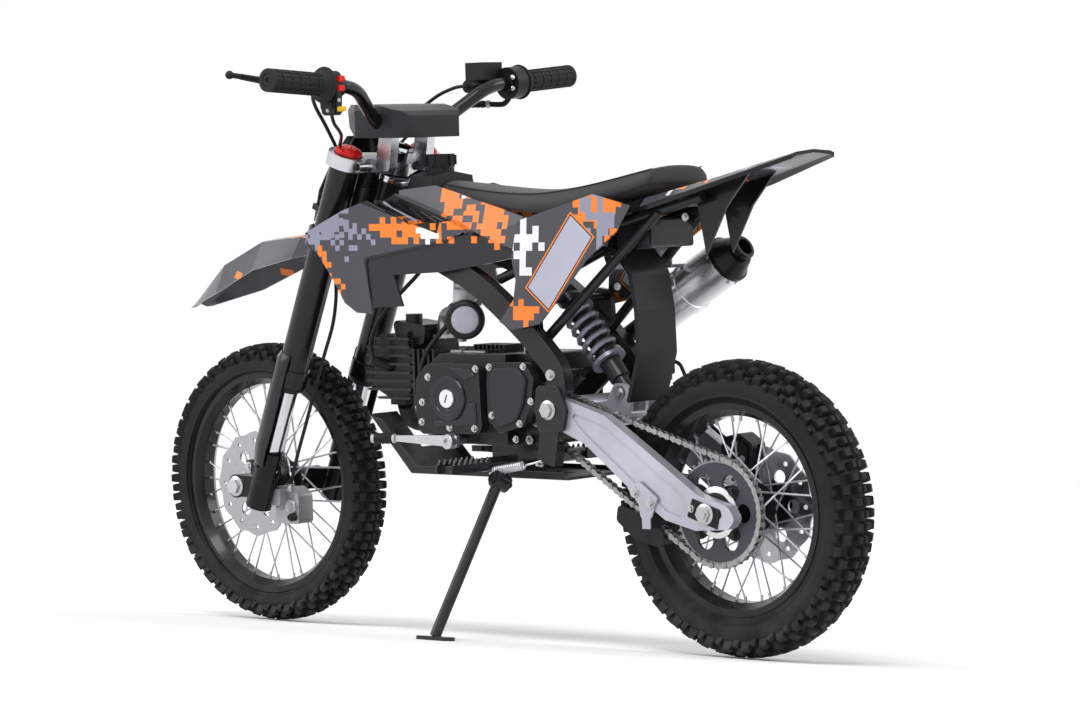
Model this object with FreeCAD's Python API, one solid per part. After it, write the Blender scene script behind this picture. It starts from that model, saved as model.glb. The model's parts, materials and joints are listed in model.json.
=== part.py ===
"""A small off-road motorcycle that leans on its side stand.

Every piece is drawn on an upright machine: X points forward, Y to the rider's left, Z up, and the
origin is on the ground below the rear axle. At the end each piece is leaned over to the left about
the line through both tyres' ground contacts, and moved so that the origin is the middle of the
whole machine's box at ground level. All lengths are in millimetres and all angles in degrees.
"""

import FreeCAD, Part
import math
import os

V = FreeCAD.Vector

# Stance
WHEELBASE = 1025.0
LEAN = 7.0
RAKE = 22.0
STEER_LOCK = 38.0
FORK_OFFSET = 28.0
HEAD_BACK = 314.0
STEM_TOP = V(WHEELBASE - HEAD_BACK, 0, 800)
GAP = 0.3

# Rear wheel, on the axle's own centre: y across, r outwards
REAR_RIM_R = 165.0
REAR_TYRE_H = 66.5
REAR_TYRE_R = REAR_RIM_R + REAR_TYRE_H
REAR_TREAD_Y = 35.0
REAR_SIDE_Y = 40.0
REAR_BEAD_Y = 27.0
REAR_LUGS = 28
# Front wheel
FRONT_RIM_R = 188.5
FRONT_TYRE_H = 49.3
FRONT_TYRE_R = FRONT_RIM_R + FRONT_TYRE_H
FRONT_TREAD_Y = 29.0
FRONT_SIDE_Y = 33.0
FRONT_BEAD_Y = 22.0
FRONT_LUGS = 30
LUG_DEPTH = 9.0
LUG_SHARE = 0.52
LUG_HALF = 0.42
RIM_LIP = 7.0
RIM_WALL = 3.0
RIM_DEPTH = 17.0
BEAD_GAP = 0.4
CROWN_DROP = 17.0
SPOKES = 36
SPOKE_R = 1.6
HUB_R = 21.0
FLANGE_T = 5.0
REAR_FLANGE_Y = 30.0
FRONT_FLANGE_Y = 26.0
AXLE_R = 7.5
AXLE_BORE = 8.0

# Final drive
CHAIN_PITCH = 12.7
CHAIN_Y = 66.0
CHAIN_W = 12.0
CHAIN_H = 8.6
REAR_TEETH = 41
DRIVE_TEETH = 14
SPROCKET_T = 5.0
SPROCKET_WINDOWS = 6
DRIVE_CENTRE = (375.0, 400.0)

# Brakes
REAR_DISC_R = 92.0
REAR_DISC_Y = -56.0
FRONT_DISC_R = 90.0
FRONT_DISC_Y = 50.0
DISC_T = 3.5
DISC_WAVES = 12
DISC_HOLES = 12
PAD_GAP = 2.0

# Fork
LEG_Y = 90.0
FORK_OUTER_R = 25.0
FORK_TUBE_R = 17.0
FORK_TOP = 797.0
FORK_SEAL = 410.0
FOOT_TOP = 300.0
FOOT_BOTTOM = 206.0
CLAMP_TOP = 786.0
CLAMP_T = 22.0
LOWER_CLAMP_TOP = 660.0
LOWER_CLAMP_T = 30.0
CLAMP_WALL = 8.0
HEAD_R = 26.0
STEM_R = 15.0

# Handlebar
BAR_R = 11.0
GRIP_R = 17.5
GRIP_IN = 238.0
GRIP_OUT = 360.0
BAR_CLAMP_BACK = 21.0
BAR_CLAMP_UP = 42.0
RISER_IN = 34.0
RISER_OUT = 52.0
BAR_BORE = 7.0
BAR_BORE_L = 40.0

# Frame
SPAR_Y = 92.0
SPAR_W = 22.0
SPAR_H = 36.0
RAIL_R = 8.0
SWING_PIVOT = (306.0, 386.0)
PIVOT_R = 7.0
ARM_IN = 78.0
ARM_OUT = 98.0
ARM_WALL = 5.0

# Side stand
STAND_PIVOT = (405.0, 118.0, 272.0)
STAND_TUBE_R = 9.0
STAND_BOSS_R = 14.0
STAND_REACH_X = 35.0
STAND_REACH_Y = 92.0
FOLDED_FOOT = (172.0, 150.0, 338.0)
FOOT_T = 6.0

# Belly and foot rests
SKID_BOTTOM = 272.0
SKID_T = 5.0
LIFT_POINT = (520.0, 0.0, SKID_BOTTOM)
PEG_BAR = (440.0, 296.0)
PEG_BAR_R = 11.0

nodes = {}


def tan(angle):
    return math.tan(math.radians(angle))


def sin(angle):
    return math.sin(math.radians(angle))


def cos(angle):
    return math.cos(math.radians(angle))


def wheel_height(outer, tread):
    """The height of an axle whose tyre, leaned over, stands on the edge of its middle blocks."""
    return outer + LUG_HALF * tread * tan(LEAN)


REAR_AXLE = V(0, 0, wheel_height(REAR_TYRE_R, REAR_TREAD_Y))
FRONT_AXLE = V(WHEELBASE, 0, wheel_height(FRONT_TYRE_R, FRONT_TREAD_Y))
STEER_DOWN = V(sin(RAKE), 0, -cos(RAKE))
STEER_AHEAD = V(cos(RAKE), 0, sin(RAKE))


def fuse(shapes):
    """One solid, or one compound of solids, from shapes that meet."""
    whole = shapes[0].multiFuse(shapes[1:]) if len(shapes) > 1 else shapes[0]
    return whole.removeSplitter()


def mirror_y(shape):
    return shape.mirror(V(0, 0, 0), V(0, 1, 0))


def rod(start, end, radius):
    """A round bar from one point to another."""
    along = end - start
    return Part.makeCylinder(radius, along.Length, start, along)


def tube(start, end, radius, bore):
    return rod(start, end, radius).cut(rod(start, end, bore))


def block(x, y, z):
    """A box from its spans along the three axes."""
    return Part.makeBox(x[1] - x[0], y[1] - y[0], z[1] - z[0], V(x[0], y[0], z[0]))


def closed_outline(points, radius):
    """A closed wire through the points, with a round at each corner that its runs leave room for."""
    if not radius:
        return Part.makePolygon(points + [points[0]])
    corners = []
    for number, corner in enumerate(points):
        a = points[number - 1] - corner
        b = points[(number + 1) % len(points)] - corner
        room = 0.46 * min(a.Length, b.Length)
        a.normalize()
        b.normalize()
        half = a.getAngle(b) / 2
        reach = min(radius / math.tan(half), room)
        inward = a + b
        inward.normalize()
        middle = corner + inward * (reach * math.tan(half) * (1 / math.sin(half) - 1))
        corners.append((corner + a * reach, middle, corner + b * reach))
    edges = []
    for number, (start, middle, end) in enumerate(corners):
        edges.append(Part.Arc(start, middle, end).toShape())
        edges.append(Part.LineSegment(end, corners[(number + 1) % len(corners)][0]).toShape())
    return Part.Wire(edges)


def side_plate(outline, y, radius=0):
    """A plate whose outline is given as (x, z) points, between two values of y."""
    points = [V(x, y[0], z) for x, z in outline]
    return Part.Face(closed_outline(points, radius)).extrude(V(0, y[1] - y[0], 0))


def top_plate(outline, z, radius=0):
    """A plate whose outline is given as (x, y) points, between two heights."""
    points = [V(x, y, z[0]) for x, y in outline]
    return Part.Face(closed_outline(points, radius)).extrude(V(0, 0, z[1] - z[0]))


def both(shape):
    """A shape with its mirror image on the other side of the machine."""
    return [shape, mirror_y(shape)]


def rounded_path(points, share=0.45):
    """Straight runs through the points, with a tangent arc at each turn."""
    edges = []
    last = points[0]
    for before, corner, after in zip(points, points[1:], points[2:]):
        a = (before - corner)
        b = (after - corner)
        reach = share * min(a.Length, b.Length)
        a.normalize()
        b.normalize()
        half = a.getAngle(b) / 2
        start = corner + a * reach
        end = corner + b * reach
        radius = reach * math.tan(half)
        inward = a + b
        inward.normalize()
        middle = corner + inward * (radius / math.sin(half) - radius)
        edges.append(Part.LineSegment(last, start).toShape())
        edges.append(Part.Arc(start, middle, end).toShape())
        last = end
    edges.append(Part.LineSegment(last, points[-1]).toShape())
    return Part.Wire(edges)


def pipe(points, radius, share=0.45):
    """A round bar along a path of straight runs and arcs."""
    path = rounded_path(points, share)
    start = points[0]
    ring = Part.Wire([Part.Circle(start, points[1] - start, radius).toShape()])
    return path.makePipeShell([ring], True, True)


def beam(points, width, height, side=V(0, 1, 0), share=0.45):
    """A rectangular tube along a path. Its width lies along side."""
    path = rounded_path(points, share)
    start = points[0]
    along = points[1] - start
    up = along.cross(side)
    up.normalize()
    across = up.cross(along)
    across.normalize()
    corners = [
        start + across * (width / 2 * a) + up * (height / 2 * b)
        for a, b in ((-1, -1), (1, -1), (1, 1), (-1, 1))
    ]
    ring = Part.makePolygon(corners + [corners[0]])
    return path.makePipeShell([ring], True, False)


def spin(profile, centre):
    """A ring about an axle along Y, from (y, r) points."""
    points = [centre + V(0, y, r) for y, r in profile]
    face = Part.Face(Part.makePolygon(points + [points[0]]))
    return face.revolve(centre, V(0, 1, 0), 360)


def disc(centre, radius, y, bore=0.0):
    """A round plate across an axle, between two values of y."""
    start = V(centre.x, y[0], centre.z)
    plate = Part.makeCylinder(radius, y[1] - y[0], start, V(0, 1, 0))
    if bore:
        plate = plate.cut(Part.makeCylinder(bore, y[1] - y[0], start, V(0, 1, 0)))
    return plate


def section_loft(sections):
    """A symmetrical solid from rows of (x, half widths and heights)."""
    wires = []
    for x, corners in sections:
        left = [V(x, y, z) for y, z in corners]
        right = [V(x, -y, z) for y, z in reversed(corners) if y > 0]
        points = left + right
        wires.append(Part.makePolygon(points + [points[0]]))
    return Part.makeLoft(wires, True, True)


def steer_point(along, ahead=0.0, y=0.0):
    """A point in the steering's own frame: down the stem from its top, ahead of it, and across."""
    return STEM_TOP + STEER_DOWN * along + STEER_AHEAD * ahead + V(0, y, 0)


def down_to(height, ahead=0.0):
    """How far down the stem a point lies that is at this height."""
    return (STEM_TOP.z + ahead * STEER_AHEAD.z - height) / cos(RAKE)


def fork_point(height, y=LEG_Y):
    return steer_point(down_to(height, FORK_OFFSET), FORK_OFFSET, y)


def steer_box(along, ahead, y):
    """A box square to the stem."""
    size = (ahead[1] - ahead[0], y[1] - y[0], along[1] - along[0])
    corner = V(ahead[0], y[0], -along[1])
    box = Part.makeBox(size[0], size[1], size[2], corner)
    box.rotate(V(0, 0, 0), V(0, 1, 0), -RAKE)
    box.translate(STEM_TOP)
    return box


def lean(shape):
    """Leans a shape over to the left about the ground line, on the way to its parked place."""
    moved = shape.copy()
    moved.rotate(V(0, 0, 0), V(1, 0, 0), -LEAN)
    return moved


def leaned(point):
    return V(point.x, point.y * cos(LEAN) + point.z * sin(LEAN), point.z * cos(LEAN) - point.y * sin(LEAN))


def upright(point):
    """The inverse of leaned."""
    return V(point.x, point.y * cos(LEAN) - point.z * sin(LEAN), point.z * cos(LEAN) + point.y * sin(LEAN))


# Wheels


def around(centre, turn, shape):
    """A copy of a shape turned about an axle along Y."""
    turned = shape.copy()
    turned.rotate(centre, V(0, 1, 0), turn)
    return turned


def facet_ring(profile, centre, count):
    """A ring about an axle along Y with flat faces, count of them for each run of (y, r) points."""
    rings = []
    for number in range(count):
        turn = 360.0 * number / count
        rings.append([centre + V(r * sin(turn), y, r * cos(turn)) for y, r in profile])
    faces = []
    for number, ring in enumerate(rings):
        onward = rings[(number + 1) % count]
        for corner in range(len(profile)):
            beside = (corner + 1) % len(profile)
            quad = [ring[corner], ring[beside], onward[beside], onward[corner]]
            faces.append(Part.Face(Part.makePolygon(quad + [quad[0]])))
    return Part.Solid(Part.Shell(faces))


def lug(centre, profile, width):
    """A tread block at the wheel's top, from (y, r) points and its width along the tread."""
    points = [centre + V(-width / 2, y, r) for y, r in profile]
    face = Part.Face(Part.makePolygon(points + [points[0]]))
    return face.extrude(V(width, 0, 0))


def crown(outer, tread, y):
    """The radius of a tyre's round tread at a distance y from its middle."""
    radius = (tread * tread + CROWN_DROP * CROWN_DROP) / (2 * CROWN_DROP)
    return outer - radius + math.sqrt(max(radius * radius - y * y, 0))


def tyre(centre, outer, tread, side, rim, bead, lugs):
    """A carcass of flat faces with a row of blocks on its crown and one on each shoulder."""
    floor = outer - LUG_DEPTH
    shoulder = outer - CROWN_DROP
    flat = 1 / cos(180.0 / lugs)
    carcass = facet_ring(
        [
            (-bead, (rim - RIM_LIP + BEAD_GAP) * flat),
            (-bead, (rim + 1) * flat),
            (-side, (rim + shoulder) / 2),
            (-tread, shoulder - 8),
            (0, floor),
            (tread, shoulder - 8),
            (side, (rim + shoulder) / 2),
            (bead, (rim + 1) * flat),
            (bead, (rim - RIM_LIP + BEAD_GAP) * flat),
        ],
        centre,
        lugs,
    )
    width = 2 * math.pi * outer / lugs * LUG_SHARE
    half = tread * LUG_HALF
    inner = tread * 0.56
    middle_lines = [(-half, floor - 6), (half, floor - 6), (half, outer), (-half, outer)]
    middle_block = lug(centre, middle_lines, width)
    side_block = lug(
        centre,
        [
            (inner, floor - 8),
            (side - 4, shoulder - 16),
            (side, shoulder - 1),
            (inner, crown(outer, tread, inner)),
        ],
        width,
    )
    blocks = []
    for number in range(lugs):
        turn = 360.0 * (number + 0.5) / lugs
        onward = turn + 180.0 / lugs
        blocks.append(around(centre, turn, middle_block))
        blocks.append(around(centre, onward, side_block))
        other = side_block.mirror(centre, V(0, 1, 0))
        blocks.append(around(centre, onward, other))
    return carcass.multiFuse(blocks)


def rim_ring(centre, rim, bead):
    seat = rim - RIM_LIP
    well = rim - RIM_DEPTH
    return spin(
        [
            (-bead - RIM_WALL, rim),
            (-bead - BEAD_GAP, rim),
            (-bead - BEAD_GAP, seat),
            (-bead + 7, seat),
            (-bead + 11, well),
            (bead - 11, well),
            (bead - 7, seat),
            (bead + BEAD_GAP, seat),
            (bead + BEAD_GAP, rim),
            (bead + RIM_WALL, rim),
            (bead + RIM_WALL, seat - RIM_WALL),
            (bead / 2, well - RIM_WALL),
            (-bead / 2, well - RIM_WALL),
            (-bead - RIM_WALL, seat - RIM_WALL),
        ],
        centre,
    )


def hub(centre, flange_r, flange_y, ends, rim):
    """The hub barrel with its two flanges, the wire spokes and their nipples."""
    barrel = spin(
        [
            (ends[0], 0),
            (ends[0], HUB_R),
            (-flange_y, HUB_R),
            (0, HUB_R - 6),
            (flange_y, HUB_R),
            (ends[1], HUB_R),
            (ends[1], 0),
        ],
        centre,
    )
    flanges = [
        disc(centre, flange_r, (side * flange_y - FLANGE_T / 2, side * flange_y + FLANGE_T / 2))
        for side in (-1, 1)
    ]
    inner = rim - RIM_DEPTH - RIM_WALL
    spokes = []
    for number in range(SPOKES):
        side = 1 if number % 2 else -1
        sweep = 1 if (number // 2) % 2 else -1
        at_rim = 360.0 * number / SPOKES
        at_hub = at_rim + sweep * 55
        start = centre + V((flange_r - 4) * cos(at_hub), side * flange_y, (flange_r - 4) * sin(at_hub))
        end = centre + V((inner - 0.9) * cos(at_rim), side * 4, (inner - 0.9) * sin(at_rim))
        along = end - start
        ring = Part.makePolygon(hexagon(start, along, SPOKE_R))
        spokes.append(Part.Face(ring).extrude(along))
    whole = fuse([barrel] + flanges + spokes)
    return whole.cut(disc(centre, AXLE_BORE, (ends[0] - 1, ends[1] + 1)))


def hexagon(centre, normal, radius):
    """A closed ring of six points about a centre."""
    first = normal.cross(V(0, 1, 0.3))
    first.normalize()
    second = normal.cross(first)
    second.normalize()
    turns = [60 * step for step in range(7)]
    return [centre + first * (radius * cos(a)) + second * (radius * sin(a)) for a in turns]


def sprocket_radius(teeth):
    return CHAIN_PITCH / 2 / math.sin(math.pi / teeth)


def brake_disc(centre, radius, y, seat_r):
    """A thin disc with a waved edge, slots and a cut-out carrier that seats on the hub's end."""
    steps = DISC_WAVES * 4
    edge = []
    for number in range(steps):
        turn = 360.0 * number / steps
        wave = radius - 2.5 + 2.5 * cos(turn * DISC_WAVES)
        edge.append(V(centre.x + wave * cos(turn), y - DISC_T / 2, centre.z + wave * sin(turn)))
    plate = Part.Face(Part.makePolygon(edge + [edge[0]])).extrude(V(0, DISC_T, 0))
    cuts = [disc(centre, seat_r, (y - DISC_T, y + DISC_T))]
    for number in range(DISC_HOLES):
        turn = 360.0 * number / DISC_HOLES
        hole = V(centre.x + (radius - 16) * cos(turn), 0, centre.z + (radius - 16) * sin(turn))
        cuts.append(disc(hole, 4, (y - DISC_T, y + DISC_T)))
    for number in range(DISC_WAVES // 2):
        turn = 720.0 * number / DISC_WAVES
        hole = V(centre.x + (radius - 40) * cos(turn), 0, centre.z + (radius - 40) * sin(turn))
        cuts.append(disc(hole, 11, (y - DISC_T, y + DISC_T)))
    return plate.cut(cuts)


def toothed(centre, teeth, y, bore):
    """A sprocket: a disc with pointed teeth between the chain's side plates."""
    pitch_r = sprocket_radius(teeth)
    points = []
    for number in range(teeth):
        for step, grow in ((0.0, -4.0), (0.28, -3.2), (0.5, 2.4), (0.72, -3.2)):
            turn = 360.0 * (number + step) / teeth
            out = pitch_r + grow
            points.append(V(centre.x + out * cos(turn), y[0], centre.z + out * sin(turn)))
    plate = Part.Face(Part.makePolygon(points + [points[0]])).extrude(V(0, y[1] - y[0], 0))
    return plate.cut(disc(centre, bore, (y[0] - 1, y[1] + 1)))


nodes["rear_tyre"] = tyre(
    REAR_AXLE, REAR_TYRE_R, REAR_TREAD_Y, REAR_SIDE_Y, REAR_RIM_R, REAR_BEAD_Y, REAR_LUGS
)
nodes["rear_rim"] = rim_ring(REAR_AXLE, REAR_RIM_R, REAR_BEAD_Y)
nodes["rear_hub"] = hub(REAR_AXLE, 38, REAR_FLANGE_Y, (REAR_DISC_Y - 4, CHAIN_Y + 4), REAR_RIM_R)
chain_side = (CHAIN_Y - SPROCKET_T / 2, CHAIN_Y + SPROCKET_T / 2)
sprocket = toothed(REAR_AXLE, REAR_TEETH, chain_side, HUB_R + GAP)
for number in range(SPROCKET_WINDOWS):
    window_mid = 0.6 * sprocket_radius(REAR_TEETH)
    turn = 360.0 * number / SPROCKET_WINDOWS
    window_at = REAR_AXLE + V(window_mid * cos(turn), 0, window_mid * sin(turn))
    sprocket = sprocket.cut(disc(window_at, 15, (CHAIN_Y - SPROCKET_T, CHAIN_Y + SPROCKET_T)))
nodes["rear_sprocket"] = sprocket
nodes["rear_disc"] = brake_disc(REAR_AXLE, REAR_DISC_R, REAR_DISC_Y, HUB_R + GAP)
nodes["front_tyre"] = tyre(
    FRONT_AXLE, FRONT_TYRE_R, FRONT_TREAD_Y, FRONT_SIDE_Y, FRONT_RIM_R, FRONT_BEAD_Y, FRONT_LUGS
)
nodes["front_rim"] = rim_ring(FRONT_AXLE, FRONT_RIM_R, FRONT_BEAD_Y)
nodes["front_hub"] = hub(FRONT_AXLE, 34, FRONT_FLANGE_Y, (-FRONT_DISC_Y - 8, FRONT_DISC_Y + 4), FRONT_RIM_R)
nodes["front_disc"] = brake_disc(FRONT_AXLE, FRONT_DISC_R, FRONT_DISC_Y, HUB_R + GAP)


# Steering


def fork_outer(side):
    """The dark upper tube with its collar at the seal."""
    y = side * LEG_Y
    outer = rod(fork_point(FORK_TOP, y), fork_point(FORK_SEAL, y), FORK_OUTER_R)
    collar = rod(fork_point(FORK_SEAL + 32, y), fork_point(FORK_SEAL + 6, y), FORK_OUTER_R + 3)
    bore = rod(fork_point(FORK_SEAL + 60, y), fork_point(FORK_SEAL - 5, y), FORK_TUBE_R + GAP)
    return outer.fuse(collar).cut(bore)


def fork_leg(side):
    """The bright slider with the foot that holds the axle."""
    y = side * LEG_Y
    slider = rod(fork_point(FORK_SEAL + 59, y), fork_point(FOOT_BOTTOM + 20, y), FORK_TUBE_R)
    foot_axis = fork_point(FRONT_AXLE.z, y)
    foot = rod(fork_point(FOOT_TOP, y), fork_point(FOOT_BOTTOM, y), FORK_TUBE_R + 5)
    lug_y = sorted((y - side * 20, y + side * 8))
    axle_lug = disc(FRONT_AXLE, 20, lug_y)
    bridge = block(sorted((foot_axis.x, FRONT_AXLE.x)), lug_y, (FRONT_AXLE.z - 18, FRONT_AXLE.z + 18))
    axle_hole = disc(FRONT_AXLE, AXLE_R + GAP, (lug_y[0] - 9, lug_y[1] + 9))
    return fuse([slider, foot, axle_lug, bridge]).cut(axle_hole)


def clamp_arms(top, thickness):
    """A fork clamp: waisted arms from the stem's boss to an eye round each leg."""
    along = (down_to(top), down_to(top) + thickness)
    eye_r = FORK_OUTER_R + CLAMP_WALL
    outline = [
        (-18, HEAD_R * 0.75),
        (FORK_OFFSET - 20, LEG_Y - eye_r * 0.5),
        (FORK_OFFSET + 6, LEG_Y - eye_r * 0.4),
        (HEAD_R + 2, 0),
    ]
    outline = outline + [(ahead, -y) for ahead, y in reversed(outline[:3])]
    body = top_plate(outline, (-along[1], -along[0]), 14)
    body.rotate(V(0, 0, 0), V(0, 1, 0), -RAKE)
    body.translate(STEM_TOP)
    body = body.fuse(rod(steer_point(along[0]), steer_point(along[1]), HEAD_R))
    for side in (-1, 1):
        start = steer_point(along[0], FORK_OFFSET, side * LEG_Y)
        body = body.fuse(rod(start, start + STEER_DOWN * thickness, eye_r))
        ear = steer_point((along[0] + along[1]) / 2, FORK_OFFSET - eye_r, side * (LEG_Y - 22))
        body = body.fuse(rod(ear, ear + V(0, side * 30, 0), 8))
    for side in (-1, 1):
        start = steer_point(along[0] - 1, FORK_OFFSET, side * LEG_Y)
        body = body.cut(rod(start, start + STEER_DOWN * (thickness + 2), FORK_OUTER_R + GAP))
    return body


def stem_nut(along, radius, height):
    """A six-sided nut on the stem."""
    start = steer_point(along)
    ring = Part.makePolygon(hexagon(start, STEER_DOWN, radius))
    return Part.Face(ring).extrude(STEER_DOWN * height)


nodes["fork_outer_left"] = fork_outer(1)
nodes["fork_outer_right"] = fork_outer(-1)
nodes["fork_leg_left"] = fork_leg(1)
nodes["fork_leg_right"] = fork_leg(-1)

nose_x = STEM_TOP.x
bar_centre = V(STEM_TOP.x - BAR_CLAMP_BACK, 0, STEM_TOP.z + BAR_CLAMP_UP)
upper = clamp_arms(CLAMP_TOP, CLAMP_T)
upper = upper.cut(rod(steer_point(-5), steer_point(60), STEM_R + GAP))
riser_outline = [
    (bar_centre.x - 14, bar_centre.z - 6),
    (bar_centre.x - 2, CLAMP_TOP - 20),
    (bar_centre.x + 30, CLAMP_TOP - 20),
    (bar_centre.x + 15, bar_centre.z - 6),
    (bar_centre.x + 12, bar_centre.z + 12),
    (bar_centre.x - 12, bar_centre.z + 12),
]
for side in (-1, 1):
    riser_y = sorted((side * RISER_IN, side * RISER_OUT))
    upper = upper.fuse(side_plate(riser_outline, riser_y, 6))
    upper = upper.fuse(disc(bar_centre, BAR_R + 6, riser_y))
nodes["upper_clamp"] = upper.cut(disc(bar_centre, BAR_R + GAP, (-RISER_OUT - 8, RISER_OUT + 8)))

lower = clamp_arms(LOWER_CLAMP_TOP, LOWER_CLAMP_T)
lower = lower.fuse(rod(steer_point(-2), steer_point(down_to(LOWER_CLAMP_TOP) + 10), STEM_R))
nodes["lower_clamp"] = lower.fuse(stem_nut(-9, STEM_R + 5, 8.5))

fork_caps = []
for side in (-1, 1):
    cap_at = fork_point(FORK_TOP, side * LEG_Y) - STEER_DOWN * GAP
    cap = rod(cap_at, cap_at - STEER_DOWN * 5, FORK_OUTER_R - 2)
    hexed = Part.Face(Part.makePolygon(hexagon(cap_at, STEER_DOWN, 15))).extrude(STEER_DOWN * -11)
    fork_caps.append(cap.fuse(hexed))
nodes["fork_caps"] = Part.makeCompound(fork_caps)

axle = rod(V(FRONT_AXLE.x, -LEG_Y - 14, FRONT_AXLE.z), V(FRONT_AXLE.x, LEG_Y + 14, FRONT_AXLE.z), AXLE_R)
nut_at = V(FRONT_AXLE.x, LEG_Y + 8 + GAP, FRONT_AXLE.z)
axle_nut = Part.Face(Part.makePolygon(hexagon(nut_at, V(0, 1, 0), 13)))
nodes["front_axle"] = axle.fuse(axle_nut.extrude(V(0, 9, 0)))

# Handlebar, grips and controls

bar_half = [
    V(bar_centre.x, 74, bar_centre.z),
    V(bar_centre.x - 38, 160, bar_centre.z + 61),
    V(bar_centre.x - 39, GRIP_OUT - 2, bar_centre.z + 75),
]
bar_points = [V(p.x, -p.y, p.z) for p in reversed(bar_half)] + bar_half
bar_end = bar_half[-1]
bar_line = bar_half[-1] - bar_half[-2]
bar_line.normalize()
bar = pipe(bar_points, BAR_R, 0.24)
bore = rod(bar_end - bar_line * BAR_BORE_L, bar_end + bar_line, BAR_BORE)
nodes["handlebar"] = bar.cut(bore).cut(mirror_y(bore))


def on_bar(y):
    """A point on the left end of the bar's middle line, at this distance from the machine's middle."""
    return bar_end - bar_line * ((bar_end.y - y) / bar_line.y)


def bar_tube(y, radius):
    """A sleeve on the left end of the bar, between two values of y."""
    return tube(on_bar(y[0]), on_bar(y[1]), radius, BAR_R + GAP)


grip = fuse(
    [bar_tube((GRIP_IN - 5, GRIP_IN), GRIP_R + 9), bar_tube((GRIP_IN, GRIP_OUT), GRIP_R)]
    + [bar_tube((y, y + 3), GRIP_R + 1.2) for y in range(int(GRIP_IN) + 20, int(GRIP_OUT), 20)]
)
nodes["grip_left"] = grip
nodes["grip_right"] = mirror_y(grip)

perch_at = GRIP_IN - 40
pivot = on_bar(perch_at + 12) + V(32, 0, 0)
lever_tip = on_bar(GRIP_OUT - 12) + V(98, 0, 12)
lever_mid = on_bar(GRIP_IN + 22) + V(66, 0, 4)
perch = fuse(
    [
        bar_tube((perch_at, perch_at + 26), BAR_R + 6),
        rod(on_bar(perch_at + 12) + V(BAR_R + 2, 0, 0), pivot, 8),
        rod(pivot - V(0, 0, 9), pivot + V(0, 0, 9), 10),
        rod(pivot, lever_mid, 5),
        rod(lever_mid, lever_tip, 4.5),
        Part.makeSphere(7, lever_tip),
    ]
)
switch = bar_tube((perch_at + 16, perch_at + 34), BAR_R + 9)
switch_low = on_bar(perch_at + 25) + V(0, 0, -BAR_R - 26)
switch_block = block(
    (switch_low.x - 14, switch_low.x + 12),
    (switch_low.y - 10, switch_low.y + 8),
    (switch_low.z, switch_low.z + 22),
)
switch = switch.fuse(switch_block)
nodes["controls_left"] = fuse([perch, switch])
throttle = bar_tube((GRIP_IN - 34, GRIP_IN - 8), 27)
cylinder_at = on_bar(perch_at - 18)
master = rod(cylinder_at + V(30, -42, -2), cylinder_at + V(34, 34, 0), 11)
reservoir_at = cylinder_at + V(32, 2, 8)
reservoir = block(
    (reservoir_at.x - 20, reservoir_at.x + 20),
    (reservoir_at.y - 24, reservoir_at.y + 24),
    (reservoir_at.z, reservoir_at.z + 30),
)
right = fuse([perch, throttle, master, reservoir])
nodes["controls_right"] = mirror_y(right)

# Bar pad: a faceted cover over the bar's clamps

pad_line = [(70, 868), (47, 877), (-29, 875), (-71, 864), (-80, 856), (-69, 820), (26, 822), (62, 840)]
pad_profile = [(nose_x + ahead, z) for ahead, z in pad_line]
pad_plan = [(nose_x + ahead, y) for ahead, y in ((-80, 60), (-61, 80), (24, 80), (70, 48))]
pad_plan = pad_plan + [(x, -y) for x, y in reversed(pad_plan)]
pad = side_plate(pad_profile, (-80, 80)).common(top_plate(pad_plan, (800, 900)))
pad = pad.cut(pipe(bar_points, BAR_R + 1, 0.24))
pad = pad.cut(disc(bar_centre, BAR_R + 6.5, (-RISER_OUT - 1, RISER_OUT + 1)))
clamp_room = block(
    (bar_centre.x - 16, bar_centre.x + 32),
    (-RISER_OUT - 1, RISER_OUT + 1),
    (800, bar_centre.z + 13),
)
nodes["bar_pad"] = pad.cut(clamp_room)

# Frame

nose = nose_x
head_top = steer_point(down_to(CLAMP_TOP) + CLAMP_T + 3)
head_bottom = steer_point(down_to(LOWER_CLAMP_TOP) - 3)
head = tube(head_top, head_bottom, HEAD_R, STEM_R + 1)
cups = [
    tube(head_top, head_top + STEER_DOWN * 12, HEAD_R + 3, STEM_R + 1),
    tube(head_bottom - STEER_DOWN * 12, head_bottom, HEAD_R + 3, STEM_R + 1),
]
gusset = side_plate(
    [(nose - 66, 676), (nose - 66, 700), (nose - 20, 742), (nose + 29, 742), (nose + 29, 672)], (-21.4, 21.4), 8
).cut(rod(head_top, head_bottom, HEAD_R))
nodes["frame_head"] = fuse([head, gusset] + cups)

spar_points = [
    V(nose - 21, 32, 690),
    V(600, 70, 640),
    V(455, SPAR_Y, 585),
    V(350, SPAR_Y, 505),
    V(285, SPAR_Y, 440),
    V(305, SPAR_Y, 370),
    V(318, SPAR_Y, 300),
]
spar = beam(spar_points, SPAR_W, SPAR_H)
swing_pivot = V(SWING_PIVOT[0], 0, SWING_PIVOT[1])
pivot_hole = disc(swing_pivot, PIVOT_R + GAP, (-ARM_OUT - 30, ARM_OUT + 30))
arm_room = block((200, 325), (-ARM_OUT - 1, ARM_OUT + 1), (330, 415))
pivot_plate = side_plate(
    [(278, 352), (270, 386), (284, 424), (330, 424), (334, 386), (328, 352)], (ARM_OUT + 1, ARM_OUT + 9), 10
)
shock_ear = side_plate([(330, 500), (334, 566), (362, 570), (388, 545)], (SPAR_Y - 8, SPAR_Y + 2), 6)
engine_line = [(292, 448), (292, 432), (330, 400), (350 - GAP, 400), (350 - GAP, 430), (325, 446)]
engine_ear = side_plate(engine_line, (31, 39))
engine_tube = rod(V(302, 31, 441), V(302, SPAR_Y, 441), 6)
spar = spar.cut(arm_room).fuse([pivot_plate, shock_ear, engine_ear, engine_tube]).cut(pivot_hole)
nodes["frame_left"] = spar
nodes["frame_right"] = mirror_y(spar)
rail_y = SPAR_Y - SPAR_W / 2 - GAP - RAIL_R
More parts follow.
